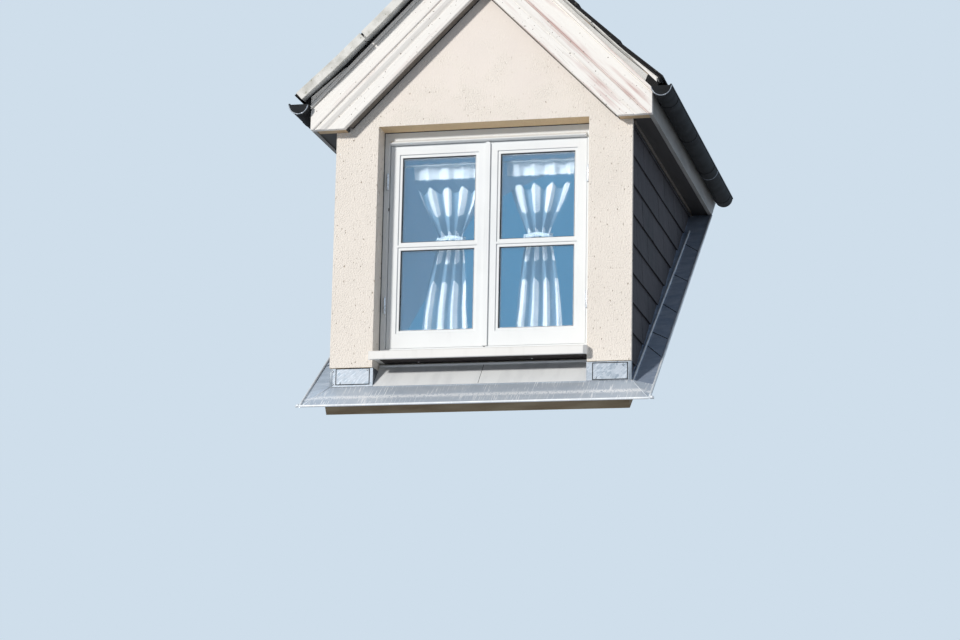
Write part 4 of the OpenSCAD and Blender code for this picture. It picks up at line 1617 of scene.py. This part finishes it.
    def plate(self, side: Side) -> None:
        """The corner's face sheet in its sealant, with its outer strip and rivets.

        Args:
            side: the half.
        """
        x0, x1, z0, z1 = self.faces[side]
        y = SIZES.foot_y
        sheet, bead, strip, pins = Shape(), Shape(), Shape(), Shape()
        sheet.block((x0, y - 0.0009, z0), (x1, y + 0.001, z1))
        sheet.piece(f"plate_face_{side.word}", self.plates, Slot.ZINC, arris=0.0004)
        lip = [(-0.0030, y - 0.0006), (0.0006, y - 0.0014), (0.0012, y), (-0.0030, y)]
        bead.ring((x0, x1, z0, z1), lip)
        bead.piece(f"plate_sealant_{side.word}", self.sealant, Slot.DARK_ZINC)
        x = side.span(0.6275, 0.6395)
        strip.block((x[0], y - 0.0011, 0.107), (x[1], y + 0.001, 0.184))
        strip.piece(f"plate_strip_{side.word}", self.cover, Slot.ZINC, arris=0.0004)
        for px, pz in self.rivets:
            if px * side.value > 0:
                pins.dome((px, y - 0.0008, pz), 0.0042, (0, -1, 0), 0.0014)
        pins.piece(f"plate_rivets_{side.word}", self.rivet, Slot.WHITE_METAL, smooth=True)


@dataclass
class Casement:
    """The white window: frame, two sashes, their bead, the bar over them and the sill."""

    pvc: Finish = ExtrudedPvc()
    rubber: Finish = RubberGasket()
    hardware: Finish = SatinMetal("HingeZincPlate", "#dfe1e3", "#9b9da0", 0.35)
    sill: Finish = ExtrudedPvc("SillPvc", "#ebe9e5", "#cfccc5")
    # partly painted shade: a near-black strip where the hollow under the sill lies in shade
    dark_packer_and_shade: Finish = PaintedBoard("DarkPackerAndShade", "#2b2220", "#120e0d", 0.6)
    screw: Finish = SatinMetal("ScrewZincPlate", "#e8eaec", "#a5a8ab", 0.3)
    gasket: float = 0.003
    mastic_z: float = 0.251
    packer_t: float = 0.0016
    packer_x: Pair = (-0.430, 0.446)
    packer_y: Pair = (-0.030, 0.118)
    screws: tuple[Pair, ...] = ((-0.278, 0.088), (0.209, 0.078))
    screw_r: float = 0.0042
    slots: tuple[tuple[float, ...], ...] = (  # X, Z, width and height
        (-0.0045, 0.2725, 0.008, 0.0018),
        (-0.0045, 0.2785, 0.008, 0.0018),
        (-0.4308, 0.880, 0.0036, 0.013),
    )

    def build(self) -> None:
        """Dresses the profiles and sets the gaskets round the panes."""
        for node in ("window_frame", "sash_left", "sash_right", "meeting_bead"):
            dress(node, self.pvc, 0.0015)
        dress("window_sill", self.sill, 0.0015)
        dress("weather_bar", self.pvc, 0.001)
        dress("hinges", self.hardware, 0.0008)
        self.gaskets()
        self.mastic()
        self.packer()

    def mastic(self) -> None:
        """A dark bead between frame and render, the drain slots and the latch's hole."""
        shape = Shape()
        y = SIZES.frame_y
        section = [(0.0, y - 0.0018), (0.0032, y - 0.0006), (0.0032, y + 0.001), (0.0, y + 0.001)]
        shape.ring((-SIZES.open_x, SIZES.open_x, self.mastic_z, SIZES.head_z), section)
        for x, z, wide, high in self.slots:
            shape.block((x, y - 0.0006, z), (x + wide, y + 0.001, z + high))
        shape.piece("frame_mastic", self.rubber, Slot.WHITE_PLASTIC)

    def packer(self) -> None:
        """A dark strip under the sill, behind its drip, with the heads of two screws; its
        near-black colour is partly painted shade of the hollow under the sill.
        """
        strip, heads = Shape(), Shape()
        low = SIZES.sill_under - self.packer_t
        (x0, x1), (y0, y1) = self.packer_x, self.packer_y
        strip.block((x0, y0, low), (x1, y1, SIZES.sill_under))
        strip.piece("sill_packer", self.dark_packer_and_shade, Slot.GREY_TIMBER, arris=0.0005)
        for x, y in self.screws:
            heads.dome((x, y, low), self.screw_r, (0, 0, -1), 0.0022)
        heads.piece("sill_screws", self.screw, Slot.WHITE_METAL, smooth=True)

    def gaskets(self) -> None:
        """A thin dark lip all round each of the four panes."""
        shape = Shape()
        y = SIZES.glass_y[0]
        section = [(0.0, y - 0.0005), (self.gasket, y - 0.0015), (self.gasket, y), (0.0, y)]
        for side in Side:
            x = side.span(*SIZES.glass_x)
            shape.ring((*x, SIZES.glass_z[0], SIZES.bar_z[0]), section)
            shape.ring((*x, SIZES.bar_z[1], SIZES.glass_z[1]), section)
        shape.piece("pane_gaskets", self.rubber, Slot.WHITE_PLASTIC)


@dataclass
class Glazing:
    """Sealed units of two panes, with a spacer round their edges."""

    glass: Finish = FloatGlass()
    spacer: Finish = SatinMetal("SpacerAluminium", "#b9bcc0", "#8d9094", 0.4)
    pane_t: float = 0.004
    spacer_w: float = 0.005

    def build(self) -> None:
        """Makes both units."""
        for side in Side:
            self.unit(side)

    def unit(self, side: Side) -> None:
        """Makes one sash's unit.

        Args:
            side: the half.
        """
        x, z = side.span(*SIZES.glass_x), SIZES.glass_z
        front, back = SIZES.glass_y
        shape, bar = Shape(), Shape()
        for y in (front, back - self.pane_t):
            shape.block((x[0], y, z[0]), (x[1], y + self.pane_t, z[1]))
        shape.piece(f"panes_{side.word}", self.glass, Slot.GLASS, [f"glass_{side.word}"])
        y0, y1 = front + self.pane_t, back - self.pane_t
        section = [(0.0, y0), (self.spacer_w, y0), (self.spacer_w, y1), (0.0, y1)]
        bar.ring((*x, *z), section)
        bar.piece(f"spacer_{side.word}", self.spacer, Slot.WHITE_METAL)


@dataclass
class Curtain:
    """One sheer curtain, gathered on its rod and drawn in by a tie.

    The box of its solid is 34 mm deep, and the folds may stand 5 mm proud of it.
    """

    side: Side
    centre: float
    tie_shift: float
    cloth: Finish = PolyesterVoile()
    band: Finish = PolyesterVoile("TieVoile", sheer="#e3edf5", cover_low=0.97)
    flat: Pair = (0.34, 0.77)
    mid_y: float = 0.199
    tie_z: float = 0.771
    folds: float = 3.7
    columns: int = 200
    rows: int = 130
    header_z: float = 1.038
    # painted sunlight: the heights of the lit bands across the cloth
    sunlit_and_dense_z: tuple[Pair, ...] = ((0.878, 0.987), (0.668, 0.792), (0.30, 0.574))
    plain: float = 0.35  # painted shade: how dense the cloth is drawn between the lit bands
    scallop: float = 0.013
    widths: tuple[Pair, ...] = (  # height and gathered width, from the hem up
        *((0.339, 0.214), (0.55, 0.180), (0.70, 0.138), (0.750, 0.112), (0.771, 0.106)),
        *((0.790, 0.112), (0.84, 0.150), (0.93, 0.225), (0.99, 0.262), (1.02, 0.290)),
        (1.109, 0.300),
    )

    def build(self) -> None:
        """Hangs the cloth and ties it."""
        cloth = self.hang()
        tie = self.tie()

    def width_at(self, z: float) -> float:
        """The gathered width at a height."""
        return float(np.interp(z, *zip(*self.widths)))

    def middle_at(self, z: float) -> float:
        """The middle of the cloth at a height, drawn aside by the tie."""
        return self.centre + self.tie_shift * max(0.0, 1 - abs(z - self.tie_z) / 0.3)

    def profile(self, share: np.ndarray, z: float) -> np.ndarray:
        """The folds' depth across the cloth at a height.

        Args:
            share: places across the cloth, from 0 to 1.
            z: the height.

        Returns:
            The depth at each place, from about -1 to 1.
        """
        start = 1.1 + 0.5 * self.side.value
        drift = 0.12 * math.sin(4.0 * z + start)
        broad = np.sin(2 * math.pi * (self.folds * share + drift) + start)
        small = np.sin(2 * math.pi * (self.folds * 2.6 * share + 2 * drift))
        return 0.88 * broad + 0.14 * small

    def sunlit_and_dense_at(self, shape: np.ndarray, z: float) -> np.ndarray:
        """Painted sunlight and density along one row: lit bands on fold tops and sunward flanks,
        painted shade between them, the clear strip and the header.

        Args:
            shape: the folds' depth along the row.
            z: the row's height.

        Returns:
            A number from 0 to 1 at each place.
        """
        # painted sunlight: fold tops and the flanks that face the key are lit
        lean = np.gradient(shape)
        sunlit_crest = np.clip(0.95 - 1.2 * shape - 0.4 * np.clip(lean / lean.max(), 0, 1), 0, 1)
        inside = np.full_like(shape, -1.0)
        reach = self.scallop * shape
        for low, high in self.sunlit_and_dense_z:
            inside = np.maximum(inside, np.minimum(z - low - reach, high - reach - z) / 0.003)
        lit = np.clip(inside, 0, 1) * sunlit_crest
        top = self.sunlit_and_dense_z[0][1]
        clear = np.clip((z - top + reach) / 0.004, 0, 1) if z >= top - 0.02 else 0.0
        cloth = np.maximum(lit, self.plain * (1 - clear))
        return np.where(z > self.header_z + 0.004 * shape, 0.92, cloth)

    def hang(self) -> bpy.types.Object:
        """Folds the cloth so that each row keeps the width that it was cut to.

        Returns:
            The cloth's piece.
        """
        share = np.linspace(0, 1, self.columns)
        points, sunlit_and_dense = [], []
        for z in np.linspace(self.widths[-1][0], self.widths[0][0], self.rows):
            x = self.middle_at(z) + (share - 0.5) * self.width_at(z)
            shape = self.profile(share, z)
            step_x, step_y = np.diff(x), np.diff(shape)
            low, high = 0.0, 0.022
            for _ in range(24):
                middle = (low + high) / 2
                if np.hypot(step_x, middle * step_y).sum() < self.flat[0]:
                    low = middle
                else:
                    high = middle
            points += [(a, self.mid_y + low * b, z) for a, b in zip(x, shape)]
            sunlit_and_dense += list(self.sunlit_and_dense_at(shape, z))
        wide = self.columns
        corners = [r * wide + i for r in range(self.rows - 1) for i in range(wide - 1)]
        mesh = Shape()
        mesh.add(points, [(c, c + 1, c + wide + 1, c + wide) for c in corners])
        word = self.side.word
        made = mesh.piece(
            f"voile_{word}", self.cloth, Slot.CURTAIN, [f"curtain_{word}"], smooth=True
        )
        made.data.attributes.new("sunlit_and_dense", "FLOAT", "POINT").data.foreach_set("value", sunlit_and_dense)
        return made

    def tie(self) -> bpy.types.Object:
        """A band of the same cloth round the waist, with frilled edges and a bow.

        Returns:
            The band's piece.
        """
        shape = Shape()
        middle = self.middle_at(self.tie_z)
        width = self.width_at(self.tie_z) / 2 + 0.008
        rings = []
        for level in np.linspace(-1, 1, 9):
            ring = []
            for turn in (2 * math.pi * k / 96 for k in range(96)):
                frill = 0.0025 * abs(level) ** 2 * math.sin(17 * turn + 2 * level)
                reach = 1 + 0.02 * math.cos(5 * turn)
                x = middle + (width + frill) * reach * math.cos(turn)
                y = self.mid_y + (0.021 + frill) * reach * math.sin(turn)
                ring.append((x, y, self.tie_z + 0.009 * level + 0.004 * math.sin(3 * turn)))
            rings.append(ring)
        shape.loops(rings, caps=False)
        for lean, drop in ((-1.0, 0.052), (-0.45, 0.043)):
            rings = []
            for share in np.linspace(0, 1, 9):
                x = middle - width + 0.006 + lean * 0.020 * share
                y = self.mid_y - 0.019 + 0.004 * math.sin(5 * share)
                half = 0.003 + 0.007 * share
                z = self.tie_z - drop * share
                fold = y - 0.003 * share
                front = [(x - half, y, z), (x, fold, z - 0.002), (x + half, y + 0.001, z)]
                back = [(x + half, y + 0.0016, z), (x, fold + 0.0006, z - 0.002)]
                rings.append([*front, *back, (x - half, y + 0.0006, z)])
            shape.loops(rings)
        return shape.piece(f"curtain_tie_{self.side.word}", self.band, Slot.CURTAIN, smooth=True)


@dataclass
class CurtainRods:
    """The thin rods behind the sashes."""

    finish: Finish = SatinMetal("RodLacquer", "#e4e4e2", "#c0c0bd", 0.3)

    def build(self) -> None:
        """Dresses the rods."""
        dress("curtain_rods", self.finish)


@dataclass
class Studio:
    """The floor, the light and the camera at the photograph's viewing angle."""

    backdrop: str = "#cfdeeb"
    sky: str = "#bcd3ea"  # what bright surfaces mirror
    dusk: str = "#3484ae"  # what stands for the dim room behind the panes
    ambient: str = "#e4edfb"
    ambient_strength: float = 0.31
    key_strength: float = 2.55
    key_colour: Triple = (1.0, 0.975, 0.94)
    key_angle: float = math.radians(5)
    key_run: Triple = (0.47, 1.0, -0.30)
    floor_z: float = -2.9
    floor_reach: float = 30.0
    lens: float = 95.6
    place: Triple = (2.435, -10.018, -1.866)
    floor: Finish = StudioFloor()

    def build(self) -> None:
        """Sets everything up."""
        self.look()
        self.light()
        self.ground()

    def clear(self) -> None:
        """Takes out what an empty scene starts with."""
        for held in list(bpy.context.scene.objects):
            if held.name in ("Cube", "Light", "Camera"):
                bpy.data.objects.remove(held)

    def look(self) -> None:
        """Places the camera where the photograph was taken from."""
        across = (0.972587188, 0.231742291, 0.019226871)
        down = (-0.030893645, 0.210719146, -0.977058352)
        ahead = (-0.230477211, 0.949680447, 0.212102106)
        turned = Matrix((across, [-v for v in down], [-v for v in ahead])).transposed()
        data = bpy.data.cameras.new("camera")
        data.lens = self.lens
        data.sensor_width = 36.0
        data.clip_end = 200.0
        made = bpy.data.objects.new("camera", data)
        made.matrix_world = Matrix.Translation(self.place) @ turned.to_4x4()
        bpy.context.scene.collection.objects.link(made)
        bpy.context.scene.camera = made
        bpy.context.scene.view_settings.view_transform = "Standard"

    def light(self) -> None:
        """A soft key from the upper left, and an even world round it."""
        sun = bpy.data.lights.new("key", "SUN")
        sun.energy = self.key_strength
        sun.angle = self.key_angle
        sun.color = self.key_colour
        made = bpy.data.objects.new("key", sun)
        made.rotation_euler = Vector(self.key_run).to_track_quat("-Z", "Y").to_euler()
        made.location = (-3, -6, 4)
        bpy.context.scene.collection.objects.link(made)
        world = bpy.data.worlds.new("studio")
        world.use_nodes = True
        tree = world.node_tree
        tree.nodes.clear()
        plain = {"Color": linear(self.ambient), "Strength": self.ambient_strength}
        shown = add_node(tree, "Background", plain)
        for ray, colour in (
            ("Is Glossy Ray", self.sky),
            ("Is Transmission Ray", self.dusk),
            ("Is Camera Ray", self.backdrop),
        ):
            seen = add_node(tree, "Background", {"Color": linear(colour)})
            path = add_node(tree, "LightPath", out=ray)
            shown = add_node(tree, "MixShader", {0: path, 1: shown, 2: seen})
        add_node(tree, "OutputWorld", {"Surface": shown})
        bpy.context.scene.world = world

    def ground(self) -> None:
        """A plain floor, well below, as the camera looks up from under the dormer."""
        mesh = bpy.data.meshes.new("floor")
        turns = ((-1, -1), (1, -1), (1, 1), (-1, 1))
        corners = [(a * self.floor_reach, b * self.floor_reach, self.floor_z) for a, b in turns]
        mesh.from_pydata(corners, [], [(0, 1, 2, 3)])
        mesh.materials.append(self.floor.material())
        made = bpy.data.objects.new("floor", mesh)
        bpy.context.scene.collection.objects.link(made)


def main() -> None:
    """Builds the scene in order."""
    logging.basicConfig(level=logging.INFO, format="%(name)s: %(message)s")
    studio = Studio()
    studio.clear()
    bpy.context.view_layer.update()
    studio.build()
    RenderedFront().build()
    Carcass().build()
    SlatedRoof().build()
    SlatedCheeks().build()
    for side in Side:
        Verge(side).build()
        Eaves(side).build()
    Zincwork().build()
    Casement().build()
    Glazing().build()
    CurtainRods().build()
    Curtain(Side.LEFT, -0.1985, 0.022).build()
    Curtain(Side.RIGHT, 0.2085, -0.006).build()


if __name__ == "__main__":
    main()
